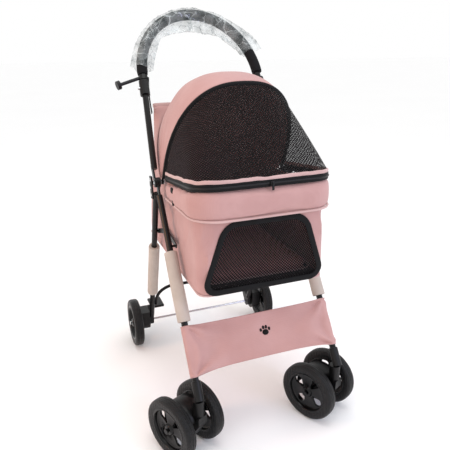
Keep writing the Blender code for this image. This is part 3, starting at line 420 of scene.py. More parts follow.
# %% Pebbled tread
TREAD, tree, shader = new_finish("pebbled_eva_tread", "#0a0a0b", 0.38)
shader.inputs["Specular IOR Level"].default_value = 0.3
where = node(tree, "ShaderNodeTexCoord").outputs["Object"]
studs = node(
    tree,
    "ShaderNodeTexVoronoi",
    {"Vector": where, "Scale": 1 / 0.0035, "Randomness": 0.35},
)
pebbled = node(
    tree,
    "ShaderNodeBump",
    {"Height": studs.outputs["Distance"], "Distance": 0.0018, "Strength": 0.9},
)
tree.links.new(pebbled.outputs["Normal"], shader.inputs["Normal"])
# The tread's colour is lighter in the middle of each stud and darker in the gaps between the studs.
stud_tone = node(tree, "ShaderNodeMix", {"Factor": studs.outputs["Distance"]}, data_type="RGBA")
stud_tone.inputs["A"].default_value = colour("#0f0f11")
stud_tone.inputs["B"].default_value = colour("#050506")
tree.links.new(stud_tone.outputs["Result"], shader.inputs["Base Color"])

# %% [markdown]
# The leg sleeves are cream closed-cell foam, matt with tiny pores; the grip is the same kind of
# foam in black, skinned smoother by hands.


# %% Foam
def foam(name, dark, light, pore):
    made, tree, shader = new_finish(name, light, 0.9)
    shader.inputs["Specular IOR Level"].default_value = 0.2
    where = node(tree, "ShaderNodeTexCoord").outputs["Object"]
    cloudy = node(tree, "ShaderNodeTexNoise", {"Vector": where, "Scale": 33.0, "Detail": 6.0})
    mixed = node(tree, "ShaderNodeMix", {"Factor": cloudy.outputs["Fac"]}, data_type="RGBA")
    mixed.inputs["A"].default_value = colour(dark)
    mixed.inputs["B"].default_value = colour(light)
    tree.links.new(mixed.outputs["Result"], shader.inputs["Base Color"])
    pores = node(tree, "ShaderNodeTexVoronoi", {"Vector": where, "Scale": 1 / pore})
    pitted = node(
        tree,
        "ShaderNodeBump",
        {"Height": pores.outputs["Distance"], "Distance": 0.0006, "Strength": 0.5},
    )
    tree.links.new(pitted.outputs["Normal"], shader.inputs["Normal"])
    return made


CREAM_FOAM = foam("cream_closed_cell_foam", "#aea299", "#c9beb5", 0.0018)
GRIP_FOAM = foam("black_grip_foam", "#0e0e10", "#1c1c1e", 0.0022)

# %% [markdown]
# The grip is still in its packing film: thin clear polythene, crumpled so that its creases flash
# white. Film this thin doesn't bend light, so it is a glossy surface that is mostly see-through.
# The edges of large noise cells stand for creases: there the film is drawn denser and lighter, as a
# painted highlight for the white flash of its folds, and between them it only greys what lies behind.

# %% Crumpled film
FILM, tree, shader = new_finish("clear_polythene_film", "#c9d0d0", 0.12, IOR=1.5, Coat_Weight=0.5)
where = node(tree, "ShaderNodeTexCoord").outputs["Object"]
pulled = node(tree, "ShaderNodeTexNoise", {"Vector": where, "Scale": 30.0, "Detail": 3.0})
bent = node(tree, "ShaderNodeMix", {"Factor": 0.06}, data_type="VECTOR")
tree.links.new(where, bent.inputs[4])
tree.links.new(pulled.outputs["Color"], bent.inputs[5])
creases = node(
    tree,
    "ShaderNodeTexVoronoi",
    {"Vector": bent.outputs[1], "Scale": 30.0},
    feature="DISTANCE_TO_EDGE",
)
# Painted highlight: along the creases the film is more opaque, so its pale colour shows as white flashes.
crease_highlight = node(
    tree,
    "ShaderNodeMapRange",
    {"Value": creases.outputs["Distance"], "From Max": 0.07, "To Min": 0.62, "To Max": 0.24},
)
tree.links.new(crease_highlight.outputs["Result"], shader.inputs["Alpha"])
greyed = node(
    tree,
    "ShaderNodeMapRange",
    {"Value": pulled.outputs["Fac"], "From Min": 0.35, "From Max": 0.65},
)
tinted = node(tree, "ShaderNodeMix", {"Factor": greyed.outputs["Result"]}, data_type="RGBA")
tinted.inputs["A"].default_value = colour("#5f6a6a")
tinted.inputs["B"].default_value = colour("#dfe6e6")
tree.links.new(tinted.outputs["Result"], shader.inputs["Base Color"])
folded = node(
    tree,
    "ShaderNodeBump",
    {"Height": creases.outputs["Distance"], "Distance": 0.004, "Strength": 0.7},
)
tree.links.new(folded.outputs["Normal"], shader.inputs["Normal"])

# %% [markdown]
# ## The frame's own pieces
# The tubes, hinges, forks and brackets keep the shape that the frame gives them. Each only needs
# its finish, chosen by the material slot that the record names for it.

# %% Paint the frame
FINISH_OF_SLOT = {
    "black_powder_coat": COAT,
    "black_plastic": NYLON,
    "chrome_steel": CHROME,
    "pink_oxford": PINK,
    "pink_lining": LINING,
    "black_mesh": MESH,
    "black_webbing": WEBBING,
    "white_foam": CREAM_FOAM,
    "black_grip_foam": GRIP_FOAM,
    "clear_film": FILM,
    "black_wheel": HUB,
}
slot_of = {entry["node"]: entry["material_slot"] for entry in frame["record"]["subparts"]}
for name, shown in frame["nodes"].items():
    shown.data.materials.clear()
    shown.data.materials.append(FINISH_OF_SLOT[slot_of[name]])
print("painted", len(slot_of), "nodes")

# %% [markdown]
# ## Cabin
# The cabin is a sewn tub. Seen from above it is a rounded rectangle, and its back leans in towards
# the top. Each level of the tub is one ring of the grid, pushed out a little between floor and rim,
# as cloth is by what lies in it, with slow ripples where the panels hang loose. Beside the legs the
# folds only go inwards, so the legs have room to close.

# %% Rings of the cabin
CABIN_HALF, CABIN_FRONT, CABIN_LOW, CABIN_TOP = 0.158, -0.225, 0.384, 0.600
BACK_LOW, BACK_TOP = 0.268, 0.212


def corner_ring(half, front, rear, corner, z, steps=10):
    ring = []
    for i, (x, y) in enumerate(((half, front), (half, rear), (-half, rear), (-half, front))):
        centre = Vector((x - math.copysign(corner, x), y + (corner if y == front else -corner), z))
        for j in range(steps):
            angle = math.radians(-90 + 90 * i + 90 * j / (steps - 1))
            ring.append(centre + Vector((math.cos(angle), math.sin(angle), 0)) * corner)
    return ring


SIDE_SWELL = 0.3  # the sides bulge less than the ends, which keeps them off the legs
LEG_ROOM = 0.0006  # furthest that a fold stands out beside a leg


def share_of(z):
    return (z - CABIN_LOW) / (CABIN_TOP - CABIN_LOW)


def swell(z):
    return 0.0045 * math.sin(math.pi * min(1, max(0, share_of(z)))) ** 0.8


def cabin_ring(z, inset=0.0):
    share = share_of(z)
    rear = BACK_LOW + (BACK_TOP - BACK_LOW) * share
    grow = swell(z) - inset
    corner = 0.024 + 0.021 * share
    return corner_ring(CABIN_HALF + grow * SIDE_SWELL, CABIN_FRONT - grow, rear + grow, corner, z)


# %% [markdown]
# The window is a wide arch in the front wall with sides that lean in. Its outline is drawn once
# and used three times, to cut the cloth, to shape the mesh and to run the binding.

# %% Window outline
WINDOW_LOW, WINDOW_TOP = 0.393, 0.553
FOOT_ROUND, HEAD_ROUND = 0.024, 0.045  # radii of the window's lower and upper corners
HEAD_INSET = 0.022  # from the head's half width in to the centre of its corner
WINDOW_FOOT, WINDOW_HEAD = 0.142, 0.087


def arc(radius, x, z, start, sweep_angle, count):
    angles = [start + sweep_angle * i / (count - 1) for i in range(count)]
    return [(x + radius * math.cos(a), z + radius * math.sin(a)) for a in angles]


def window_outline(grow):
    lean = math.atan2(WINDOW_FOOT - WINDOW_HEAD, WINDOW_TOP - WINDOW_LOW)
    foot_x, foot_z = WINDOW_FOOT - FOOT_ROUND, WINDOW_LOW + FOOT_ROUND
    right = arc(FOOT_ROUND + grow, foot_x, foot_z, -math.pi / 2, math.pi / 2 + lean, 9)
    head_x, head_z = WINDOW_HEAD - HEAD_INSET, WINDOW_TOP - HEAD_ROUND
    right += arc(HEAD_ROUND + grow, head_x, head_z, lean, math.pi / 2 - lean, 11)
    return right + [(-x, z) for x, z in reversed(right)]


def front_point(x, z, proud=0.0):
    """A point on the front wall, this far in front of it."""
    return Vector((x, CABIN_FRONT - swell(z) - proud, z))


# %% [markdown]
# The tub's mesh is cut by an exact Boolean, because a window with round corners doesn't follow
# the grid. The cutter is the outline extruded through the wall. The result is stored as the mesh
# itself, and the wall gets its thickness afterwards.

# %% Sew the cabin
RINGS, LEVELS = 168, 26
rings = {}


def on_cabin(u, v):
    level = round(v * LEVELS)
    if level not in rings:
        z = CABIN_LOW + (CABIN_TOP - CABIN_LOW) * level / LEVELS
        inset = 0.006 if level == 0 else 0.0
        rings[level] = resampled(cabin_ring(z, inset), RINGS, closed=True)
    ring = rings[level]
    i = round(u * RINGS) % RINGS
    point = ring[i]
    along_ring = ring[(i + 1) % RINGS] - ring[i - 1]
    out = Vector((along_ring.y, -along_ring.x, 0)).normalized()
    at_front = abs(out.y + 1) < 0.05
    near_window = at_front and abs(point.x) < 0.142
    loose = math.sin(math.pi * v) ** 0.6 * (0.0006 if near_window else 0.0085)
    slanted = Vector((point.x, point.y + 0.45 * point.z, point.z * 0.35))
    folds = ripple(slanted, 0.045, 3.1) + 0.6 * (1 - 3 * abs(ripple(slanted, 0.05, 6.2)))
    beside_legs = abs(out.x) > 0.5
    depth = min(loose * folds, LEG_ROOM) if beside_legs else loose * folds
    return point + out * depth


def window_cutter():
    shape = bmesh.new()
    outline = [Vector((x, CABIN_FRONT - 0.03, z)) for x, z in window_outline(-0.004)]
    face = shape.faces.new([shape.verts.new(point) for point in outline])
    pushed = bmesh.ops.extrude_face_region(shape, geom=[face])
    moved = [item for item in pushed["geom"] if isinstance(item, bmesh.types.BMVert)]
    bmesh.ops.translate(shape, verts=moved, vec=(0, 0.06, 0))
    bmesh.ops.recalc_face_normals(shape, faces=shape.faces)
    return shape


def cut_with(made, shape):
    """Cuts a finished piece with a shape that is drawn in the same place, and keeps the result."""
    bmesh.ops.translate(shape, verts=shape.verts, vec=MIDDLE)
    mesh = bpy.data.meshes.new("cutter")
    shape.to_mesh(mesh)
    shape.free()
    cutter = bpy.data.objects.new("cutter", mesh)
    bpy.context.scene.collection.objects.link(cutter)
    step = made.modifiers.new("cut", "BOOLEAN")
    step.operation = "DIFFERENCE"
    step.solver = "EXACT"
    step.object = cutter
    bake(made)
    bpy.data.objects.remove(cutter, do_unlink=True)
    return made


def bake(made):
    """Stores what a piece's modifiers make as its own mesh."""
    bpy.context.view_layer.update()
    graph = bpy.context.evaluated_depsgraph_get()
    mesh = bpy.data.meshes.new_from_object(made.evaluated_get(graph), depsgraph=graph)
    made.modifiers.clear()
    made.data = mesh
    return made


shape = laid_grid(RINGS, LEVELS, on_cabin, 0.95, 0.22, tube=True, capped=False)
lowest = min(vert.co.z for vert in shape.verts)
floor_edges = [e for e in shape.edges if e.is_boundary and e.verts[0].co.z < lowest + 0.001]
bmesh.ops.holes_fill(shape, edges=floor_edges, sides=0)
bmesh.ops.recalc_face_normals(shape, faces=shape.faces)
if min(shape.faces, key=lambda f: f.calc_center_median().z).normal.z > 0:
    bmesh.ops.reverse_faces(shape, faces=shape.faces)
cabin = piece("cabin_body", shape, PINK, "chassis", ["cabin_shell"])
thicken(cabin, 0.0022, -1)
cut_with(cabin, window_cutter())

# %% [markdown]
# The window's mesh lies behind the cut edge, blown out a little in its middle. A black tape 14 mm
# wide is folded over the edge all round, and its outer side is slightly domed. The two rows of
# stitches that hold it are not drawn.

# %% Window mesh and binding
edge_points = window_outline(0.004)
right_side = [point for point in edge_points if point[0] >= 0]


def half_width_at(z):
    for (x0, z0), (x1, z1) in zip(right_side, right_side[1:]):
        if z0 <= z <= z1 and z1 > z0:
            return x0 + (x1 - x0) * (z - z0) / (z1 - z0)
    return right_side[0][0] if z <= right_side[0][1] else right_side[-1][0]


def on_window(u, v):
    z = WINDOW_LOW - 0.004 + (WINDOW_TOP - WINDOW_LOW + 0.008) * v
    x = half_width_at(z) * (2 * u - 1)
    blown = 0.004 * math.sin(math.pi * u) * math.sin(math.pi * v)
    return front_point(x, z, blown - 0.0034)


shape = laid_grid(40, 24, on_window, 0.28, 0.16)
window = piece("window_mesh", shape, MESH, "chassis", ["front_window"])

path = resampled([front_point(x, z, 0.0012) for x, z in window_outline(0)], 120, closed=True)
shape = sweep(path, oval(0.0145, 0.0034, 14, 0.7), Vector((0, -1, 0)), closed=True)
piece("window_edge_tape", shape, WEBBING, "chassis", ["window_binding"])

foot = [point for point in resampled(cabin_ring(CABIN_LOW + 0.004), 150, closed=True)]
shape = sweep(foot, oval(0.0042, 0.0042, 8), Vector((0, 0, 1)), closed=True)
piece("cabin_foot_piping", shape, PIPING, "chassis")

# %% [markdown]
# ## Cushion
# The pet lies on a padded mat. A mat is a flat bag that its filling rounds, so it starts as a thin
# block with rounded corners, and the cloth solver blows it up with air pressure and no gravity.
# How far a point may go is capped, which keeps the mat inside the cabin. The solver's wrinkles at
# the seams are what a plain rounded block lacks.


# %% Blow up a padded piece
def blown(made, voxel, pressure, most, frames=20):
    """Swells a closed piece with the cloth solver and stores the result."""
    remesh = made.modifiers.new("remesh", "REMESH")
    remesh.mode = "VOXEL"
    remesh.voxel_size = voxel
    remesh.use_smooth_shade = True
    finish = made.data.materials[0]
    bake(made)
    before = [vert.co.copy() for vert in made.data.vertices]
    cloth = made.modifiers.new("air", "CLOTH")
    cloth.settings.use_pressure = True
    cloth.settings.uniform_pressure_force = pressure
    cloth.settings.effector_weights.gravity = 0
    cloth.settings.quality = 4
    cloth.point_cache.frame_start = 1
    cloth.point_cache.frame_end = frames
    scene = bpy.context.scene
    for step in range(1, frames + 1):
        scene.frame_set(step)
    bake(made)
    furthest = 0.0
    for vert, start in zip(made.data.vertices, before):
        moved = vert.co - start
        furthest = max(furthest, moved.length)
        if moved.length > most:
            vert.co = start + moved * (most / moved.length)
    scene.frame_set(1)
    made.data.materials.clear()
    made.data.materials.append(finish)
    made.data.shade_smooth()
    print(made.name, "swelled by up to", round(furthest * 1000, 1), "mm")
    return made


# %% Cushion
shape = bmesh.new()
bmesh.ops.create_cube(shape, size=1.0)
bmesh.ops.scale(shape, vec=(0.282, 0.425, 0.022), verts=shape.verts)
upright = [e for e in shape.edges if abs(e.verts[0].co.z - e.verts[1].co.z) > 0.01]
bmesh.ops.bevel(
    shape,
    geom=upright,
    offset=0.03,
    segments=5,
    profile=0.5,
    affect="EDGES",
    material=-1,
    clamp_overlap=True,
)
bmesh.ops.translate(shape, verts=shape.verts, vec=(0, 0.017, 0.4055))
cushion = piece("cushion_pad", shape, LINING, "chassis", ["cushion"])
blown(cushion, 0.006, 3.0, 0.007)

ring = [Vector((p.x, p.y, 0.4035)) for p in corner_ring(0.1455, -0.2, 0.233, 0.032, 0.4035)]
seam_ring = resampled(ring, 120, closed=True)
shape = sweep(seam_ring, oval(0.004, 0.004, 8), Vector((0, 0, 1)), closed=True)
piece("cushion_piping", shape, PIPING, "chassis")

# %% [markdown]
# ## Padded rim
# A fat roll of wadding runs round the front of the cabin under the zip. It is a tube of cloth: one
# section, round outside and flat against the cabin, carried along the rim from one hinge to the
# other. The roll is thicker in front than at the sides, and its top falls towards the hinges.

# %% The rim's course
RIM_X, RIM_FRONT, RIM_BACK, RIM_CORNER = 0.172, -0.255, 0.004, 0.068
RIM_TOP, RIM_FALL = 0.641, 0.124


def rim_height(y):
    return RIM_TOP - RIM_FALL * (y - RIM_FRONT)


def rim_course(count):
    """Points round the rim from the left hinge to the right one, with their outward directions."""
    centre_x, centre_y = RIM_X - RIM_CORNER, RIM_FRONT + RIM_CORNER
    line = [Vector((-RIM_X, RIM_BACK, 0))]
    for i in range(17):
        angle = math.pi + math.pi / 2 * i / 16
        x = -centre_x + RIM_CORNER * math.cos(angle)
        y = centre_y + RIM_CORNER * math.sin(angle)
        line.append(Vector((x, y, 0)))
    line += [Vector((-p.x, p.y, 0)) for p in reversed(line)]
    points = resampled(line, count)
    course = []
    for i, point in enumerate(points):
        ahead = points[min(i + 1, count - 1)] - points[max(i - 1, 0)]
        course.append((point, Vector((ahead.y, -ahead.x, 0)).normalized()))
    return course


COURSE = rim_course(121)


def on_roll(u, v):
    point, out = COURSE[round(v * 120)]
    depth = 0.0125 + 0.0135 * max(0.0, -out.y) ** 1.5
    low = 0.567 - 0.036 * (point.y - RIM_FRONT)
    top = rim_height(point.y) - 0.0065
    angle = 2 * math.pi * u
    c, s = math.cos(angle), math.sin(angle)
    flatter = 0.45 if c < 0 else 0.95
    reach = -depth / 2 + depth / 2 * math.copysign(abs(c) ** flatter, c)
    high = (low + top) / 2 + (top - low) / 2 * math.copysign(abs(s) ** 0.8, s)
    dent = 0.0034 * ripple(Vector((point.x, point.y, high * 0.7)), 0.06, 8.3) * max(0.0, c)
    pinch = min(1.0, 6 * v + 0.35, 6 * (1 - v) + 0.35)
    spot = point + out * ((reach + dent) * pinch - depth / 2 * (1 - pinch))
    middle = (low + top) / 2
    return Vector((spot.x, spot.y, middle + (high - middle) * (0.5 + 0.5 * pinch)))


shape = laid_grid(28, 120, on_roll, 0.2, 0.8, tube=True)
roll = piece("padded_rim", shape, PINK, "chassis", ["rim_roll"])
blown(roll, 0.005, 3.5, 0.0025)


# %% [markdown]
# A thin piping closes the roll's lower seam, and a row of tape follows its upper edge: black zip
# tape with a nylon coil in its middle, and above it the pink hem that the hood's mesh is sewn to.


# %% Piping, zip and hem
def rim_line(inset, height, waves=0.0):
    line = []
    for point, out in COURSE:
        spot = point - out * inset
        wave = waves * ripple(spot, 0.03, 5.0)
        line.append(Vector((spot.x, spot.y, rim_height(point.y) + height + wave)))
    return line


seam = []
for point, out in COURSE:
    low = 0.567 - 0.036 * (point.y - RIM_FRONT)
    spot = point - out * 0.0022
    seam.append(Vector((spot.x, spot.y, low + 0.0022)))
piping = sweep(seam, oval(0.0056, 0.0056, 8), Vector((0, 0, 1)))
piece("rim_piping", piping, PIPING, "chassis")

tape = sweep(rim_line(0.0055, 0.0012), oval(0.0032, 0.0165, 12, 0.6), Vector((0, 0, 1)))
piece("zip_tape", tape, WEBBING, "chassis", ["rim_tape"])
coil = sweep(rim_line(0.0034, 0.0012), oval(0.0022, 0.0042, 8), Vector((0, 0, 1)))
piece("zip_coil", coil, NYLON, "chassis")
hem = sweep(rim_line(0.0062, 0.0125, 0.0034), oval(0.0036, 0.0085, 10, 0.7), Vector((0, 0, 1)))
piece("hood_hem", hem, PIPING, "hood")

# %% [markdown]
# The zip's slider is a small die-cast saddle with a pull tab that hangs from a bridge. It starts
# as a block; its edges are bevelled, and the tab is a thin plate.


# %% Zip slider
def block(shape, size, centre, edge, turn=None):
    made = bmesh.ops.create_cube(shape, size=1.0)["verts"]
    bmesh.ops.scale(shape, vec=size, verts=made)
    if turn:
        bmesh.ops.rotate(shape, cent=(0, 0, 0), matrix=turn, verts=made)
    bmesh.ops.translate(shape, verts=made, vec=centre)
    edges = list({e for vert in made for e in vert.link_edges})
    bmesh.ops.bevel(
        shape, geom=edges, offset=edge, segments=2, profile=0.5, affect="EDGES", material=-1
    )


shape = bmesh.new()
front_y = RIM_FRONT + 0.0012
block(shape, (0.0095, 0.0035, 0.011), (0, front_y - 0.0005, RIM_TOP), 0.0008)
block(shape, (0.003, 0.003, 0.0075), (0, front_y - 0.003, RIM_TOP), 0.0006)
block(shape, (0.0055, 0.0012, 0.013), (0, front_y - 0.0046, RIM_TOP - 0.0065), 0.0004)
piece("zip_pull_tab", shape, NYLON, "zip_pull", ["zip_slider"])

# %% [markdown]
# ## Hood
# The hood is one continuous sheet of cloth from the spring wire in front, over the pet, to the
# back of the cabin. Each row of the grid is an arch that stands on the hinges; from front to back
# the arches lean from forward to backward. Between them the cloth sags a little, and near the
# hinges it gathers into folds. The last rows turn down inside the back panel, where it is sewn.

# %% The hood's arches
BOW_TILT, BACK_TILT = math.radians(28), math.radians(-34)
BOW_RISE, BACK_RISE, BOW_HALF = 0.276, 0.236, 0.1655


def arch_point(u, tilt, rise, base=0.018, shift=0.0, half=BOW_HALF):
    up = Vector((0, -math.sin(tilt), math.cos(tilt)))
    angle = math.pi * u
    c, s = math.cos(angle), max(0.0, math.sin(angle))
    x = -half * math.copysign(abs(c) ** 0.8, c)
    return HINGE + Vector((x, shift, 0)) + up * (base + (rise - base) * s**0.8)


TUCK_FROM = 0.9


def on_dome(u, v):
    if v > TUCK_FROM:
        edge = on_dome(u, TUCK_FROM)
        tuck = (v - TUCK_FROM) / (1 - TUCK_FROM)
        inner = Vector((edge.x * 0.955, min(edge.y + 0.004, 0.170), max(0.61, edge.z - 0.040)))
        return edge.lerp(inner, tuck)
    v = v / TUCK_FROM
    tilt = BOW_TILT + (BACK_TILT - BOW_TILT) * v
    rise = BOW_RISE + (BACK_RISE - BOW_RISE) * v**1.4
    point = arch_point(u, tilt, rise + 0.0035, 0.016, 0.002)
    out = (point - HINGE - Vector((0, 0, 0.08))).normalized()
    crown = math.sin(math.pi * u)
    gather = 0.0045 * math.sin(9 * math.pi * v) * math.exp(-6 * crown)
    sag = 0.007 * math.sin(math.pi * v) * crown
    return point + out * (gather - sag * 0.5 + 0.0035 * ripple(point, 0.075, 1.3) * math.sin(math.pi * v))


shape = laid_grid(72, 40, on_dome, 0.72, 0.30)
dome = piece("hood_cloth", shape, PINK, None, ["hood_dome"])
thicken(dome, 0.0016)
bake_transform(dome)

# %% [markdown]
# The mesh screen closes the front of the hood from the wire down to the hem. It is drawn between
# two lines, the arch and the hem, matched by how far along each a point is. It is unzipped before
# the hood goes back, so it goes with the hood.

# %% Hood screen
TOP_LINE = resampled([arch_point(i / 96, BOW_TILT, BOW_RISE, 0.018, -0.003) for i in range(97)], 97)
HEM_LINE = resampled(rim_line(0.0066, 0.0135), 97)


def on_screen(u, v):
    i = round(u * 96)
    point = HEM_LINE[i].lerp(TOP_LINE[i], v)
    blown_out = 0.004 * math.sin(math.pi * u) * math.sin(math.pi * v)
    return point + Vector((0, -0.7, 0.7)) * blown_out


shape = laid_grid(96, 28, on_screen, 0.72, 0.24)
screen = piece("hood_screen", shape, MESH, "hood", ["hood_mesh"])

edge = resampled([arch_point(i / 96, BOW_TILT, BOW_RISE, 0.014, -0.001) for i in range(97)], 97)
bow_tape = sweep(edge, oval(0.0095, 0.0085, 12, 0.8), Vector((0, -1, 0.3)))
piece("hood_edge_tape", bow_tape, WEBBING, "hood")

# %% [markdown]
# ## Back panel
# Behind the hood the cabin's back is drawn up to a straight top edge that hangs from the handle.
# Two wings close the gap to the hood, and a binding stiffens the top.

# %% Back panel
PANEL_HALF, PANEL_TOP_Y, PANEL_TOP_Z, PANEL_CORNER = 0.152, 0.180, 0.772, 0.025


def panel_row(z):
    share = (z - CABIN_TOP) / (PANEL_TOP_Z - CABIN_TOP)
    height = (z - HINGE.z) / math.cos(BACK_TILT)
    wing_x = BOW_HALF * (1 - min(0.98, height / BACK_RISE) ** 2.5) ** 0.4 + 0.004
    wing_y = HINGE.y - (z - HINGE.z) * math.tan(BACK_TILT) + 0.009
    back = BACK_TOP - 0.002 + (PANEL_TOP_Y - BACK_TOP) * share
    right = [
        Vector((wing_x, min(wing_y, back - 0.004), z)),
        Vector((PANEL_HALF, max(back - PANEL_CORNER, wing_y), z)),
        Vector((PANEL_HALF - 0.006, back - 0.007, z)),
        Vector((PANEL_HALF - PANEL_CORNER, back, z)),
    ]
    left = [Vector((-p.x, p.y, p.z)) for p in right]
    return left + [Vector((0, back + 0.005, z))] + right[::-1]


def on_back(u, v):
    z = CABIN_TOP - 0.004 + (PANEL_TOP_Z - CABIN_TOP + 0.004) * v
    if round(v * 24) not in back_rows:
        back_rows[round(v * 24)] = resampled(panel_row(z), 65)
    point = back_rows[round(v * 24)][round(u * 64)]
    loose = math.sin(math.pi * v) * math.sin(math.pi * u)
    flattened = Vector((point.x, 0, point.z * 0.5))
    return point + Vector((0, 0.005, 0)) * loose * ripple(flattened, 0.06, 4.4)


back_rows = {}
shape = laid_grid(64, 24, on_back, 0.42, 0.18)
back = piece("back_panel", shape, PINK, "chassis", ["rear_panel"])
thicken(back, 0.0018)
top_edge = resampled(panel_row(PANEL_TOP_Z), 65)
shape = sweep(top_edge, oval(0.0045, 0.011, 10, 0.7), Vector((0, 0, 1)))
piece("back_panel_binding", shape, PIPING, "chassis")

# %% [markdown]
# ## Straps
# A length of webbing on each side carries the panel's weight from the handle. A strap held at both
# ends still sags, so its path bows a little to the back. Its clip is undone before the handle folds,
# so it goes with the handle.

# %% Straps
ARCH_FOOT, ARCH_RISE, ARCH_HALF = 0.300, 0.190, 0.167
for word, side in SIDES:
    top = HINGE + POST_UP * 0.296
    top = Vector(((ARCH_HALF - LEG_RADIUS - 0.005) * side, top.y - 0.004, top.z))
    low = Vector(((PANEL_HALF + 0.003) * side, PANEL_TOP_Y - 0.014, PANEL_TOP_Z - 0.020))
    path = []
    for i in range(24):
        share = i / 23
        bow = math.sin(math.pi * share)
        path.append(low.lerp(top, share) + Vector((0, 0.011, -0.004)) * bow)
    shape = sweep(path, oval(0.0118, 0.0016, 10, 0.5), Vector((side, 0, 0)))
    strap = piece(
        f"strap_webbing_{word}", shape, WEBBING, "handle", [f"strap_{word}"]
    )
    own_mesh(strap)

# %% [markdown]
# ## Front panel
# A band of the same cloth is stretched between the front legs, with a sewn sleeve round each one.
# Across, it goes round the left leg, straight over and round the right leg. The pull of the sleeves
# shows as folds that run out from the four corners, and the lower edge lifts between the legs.

# %% Front panel
PANEL_FROM, PANEL_TO, SLEEVE = 0.366, 0.484, 0.0106
FACING = Vector((0, -math.cos(FRONT_TILT), math.sin(FRONT_TILT)))
left_wrap = arc(SLEEVE, -LEG_X, 0, math.radians(-40), math.radians(-230), 15)
across_line = [Vector((x, 0, h)) for x, h in left_wrap]
across_line += [Vector((x / 20 * LEG_X, 0, SLEEVE)) for x in range(-18, 19)]
right_wrap = arc(SLEEVE, LEG_X, 0, math.radians(90), math.radians(-230), 15)
across_line += [Vector((x, 0, h)) for x, h in right_wrap]
ACROSS = resampled(across_line, 121)


def on_front_panel(u, v):
    flat = ACROSS[round(u * 120)]
    inside = max(0.0, 1 - (abs(flat.x) / (LEG_X - 0.004)) ** 4)
    lift = 0.010 * inside * v**3 - 0.003 * inside * (1 - v) ** 3
    distance = PANEL_FROM + (PANEL_TO - PANEL_FROM) * v - lift
    height = flat.z - 0.006 * inside * math.sin(math.pi * v) ** 0.5
    if flat.z > 0:
        for corner_x in (-LEG_X, LEG_X):
            for corner_v in (0.0, 1.0):
                run = abs(flat.x - corner_x)
                drop = abs(v - corner_v) * (PANEL_TO - PANEL_FROM)
                reach = math.hypot(run, drop)
                fan = math.atan2(drop, run + 0.001)
                fade = math.exp(-reach / 0.075) * min(1.0, run / 0.02)
                height += 0.0075 * fade * math.sin(7 * fan + corner_x * 9 + corner_v)
        height += 0.0028 * inside * ripple(Vector((flat.x * 0.5, distance, 0)), 0.03, 2.2)
    spot = HINGE + FRONT_DOWN * distance + FACING * height
    return Vector((flat.x, spot.y, spot.z))


shape = laid_grid(120, 44, on_front_panel, 0.46, 0.12)
panel = piece("front_cloth_panel", shape, PINK, "chassis", ["front_panel"])
thicken(panel, 0.0014)

# %% [markdown]
# A small paw is printed on the panel. Print has no thickness to speak of, so it is five thin discs
# pressed onto the cloth, each drawn out into an oval.

# %% Paw print
shape = bmesh.new()
print_x = 0.012
middle = on_front_panel(0.5, 0.42)
across_panel, down_panel = Vector((1, 0, 0)), FRONT_DOWN
pads = [(0, 0.0035, 0.0082, 0.0068)]
pads += [(-0.0105, -0.004, 0.0030, 0.0042), (-0.0038, -0.0095, 0.0031, 0.0045)]
pads += [(0.0038, -0.0095, 0.0031, 0.0045), (0.0105, -0.004, 0.0030, 0.0042)]
for x, down, half_x, half_z in pads:
    disc = bmesh.ops.create_circle(shape, cap_ends=True, segments=20, radius=1.0)["verts"]
    spot = on_front_panel(0.5 + (print_x + x) / 0.45, 0.42 + down / (PANEL_TO - PANEL_FROM))
    turn = Matrix((across_panel * half_x, -down_panel * half_z, FACING)).transposed().to_4x4()
    bmesh.ops.transform(shape, matrix=Matrix.Translation(spot + FACING * 0.0016) @ turn, verts=disc)
paw = piece("paw_print", shape, WEBBING, "chassis")
thicken(paw, 0.0006)

# %% [markdown]
# ## Foam sleeves and grip
# Foam pipe is cut with a knife, so its ends are square with a soft edge, and it is never quite
# round. The leg sleeves are tubes whose radius wavers by a fraction of a millimetre.


# %% Leg sleeves
def foam_sleeve(start, end, outer, inner, seed):
    line = end - start
    side = Vector((1, 0, 0))
    front = line.cross(side).normalized()
    side = front.cross(line).normalized()
    profile = [(inner, 0.0), (outer - 0.002, 0.0), (outer - 0.0006, 0.0006), (outer, 0.0025)]
    profile += [(outer, share * line.length) for share in (0.08, 0.2, 0.35, 0.5, 0.65, 0.8, 0.92)]
    profile += [(outer, line.length - 0.0025), (outer - 0.0006, line.length - 0.0006)]
    profile += [(outer - 0.002, line.length), (inner, line.length)]

    def place(u, v):
        radius, height = profile[round(v * len(profile)) % len(profile)]
        angle = 2 * math.pi * u
        way = side * math.cos(angle) + front * math.sin(angle)
        if radius > inner:
            spot = Vector((math.cos(angle), math.sin(angle), height * 12))
            radius += 0.0007 * ripple(spot, 0.8, seed)
        return start + line.normalized() * height + way * radius

    return laid_grid(32, len(profile), place, 0.1, line.length, tube=True, ring=True)


def rear_x(distance):
    return LEG_X - 0.011 * (distance - 0.036) / 0.5275


for word, side in SIDES:
    ends = [HINGE + FRONT_DOWN * d + Vector((LEG_X * side, 0, 0)) for d in (0.184, 0.356)]
    sleeve = foam_sleeve(*ends, 0.0158, LEG_RADIUS + 0.0003, side * 2.0)
    made = piece(
        f"front_leg_foam_{word}",
        sleeve,
        CREAM_FOAM,
        "chassis",
        [f"front_foam_{word}"],
    )
    ends = [HINGE + REAR_DOWN * d + Vector((rear_x(d) * side, 0, 0)) for d in (0.228, 0.430)]
    sleeve = foam_sleeve(*ends, 0.0158, LEG_RADIUS + 0.0003, side * 5.0)
    made = piece(
        f"rear_leg_foam_{word}",
        sleeve,
        CREAM_FOAM,
        "rear_frame",
        [f"rear_foam_{word}"],
    )

# %% [markdown]
# The grip is one long sleeve over the arched tube. The arch is half an ellipse that leans back
# with the posts.


# %% Grip
def arch_centre(angle):
    point = HINGE + POST_UP * (ARCH_FOOT + ARCH_RISE * math.sin(angle))
    return Vector((-ARCH_HALF * math.cos(angle), point.y, point.z))


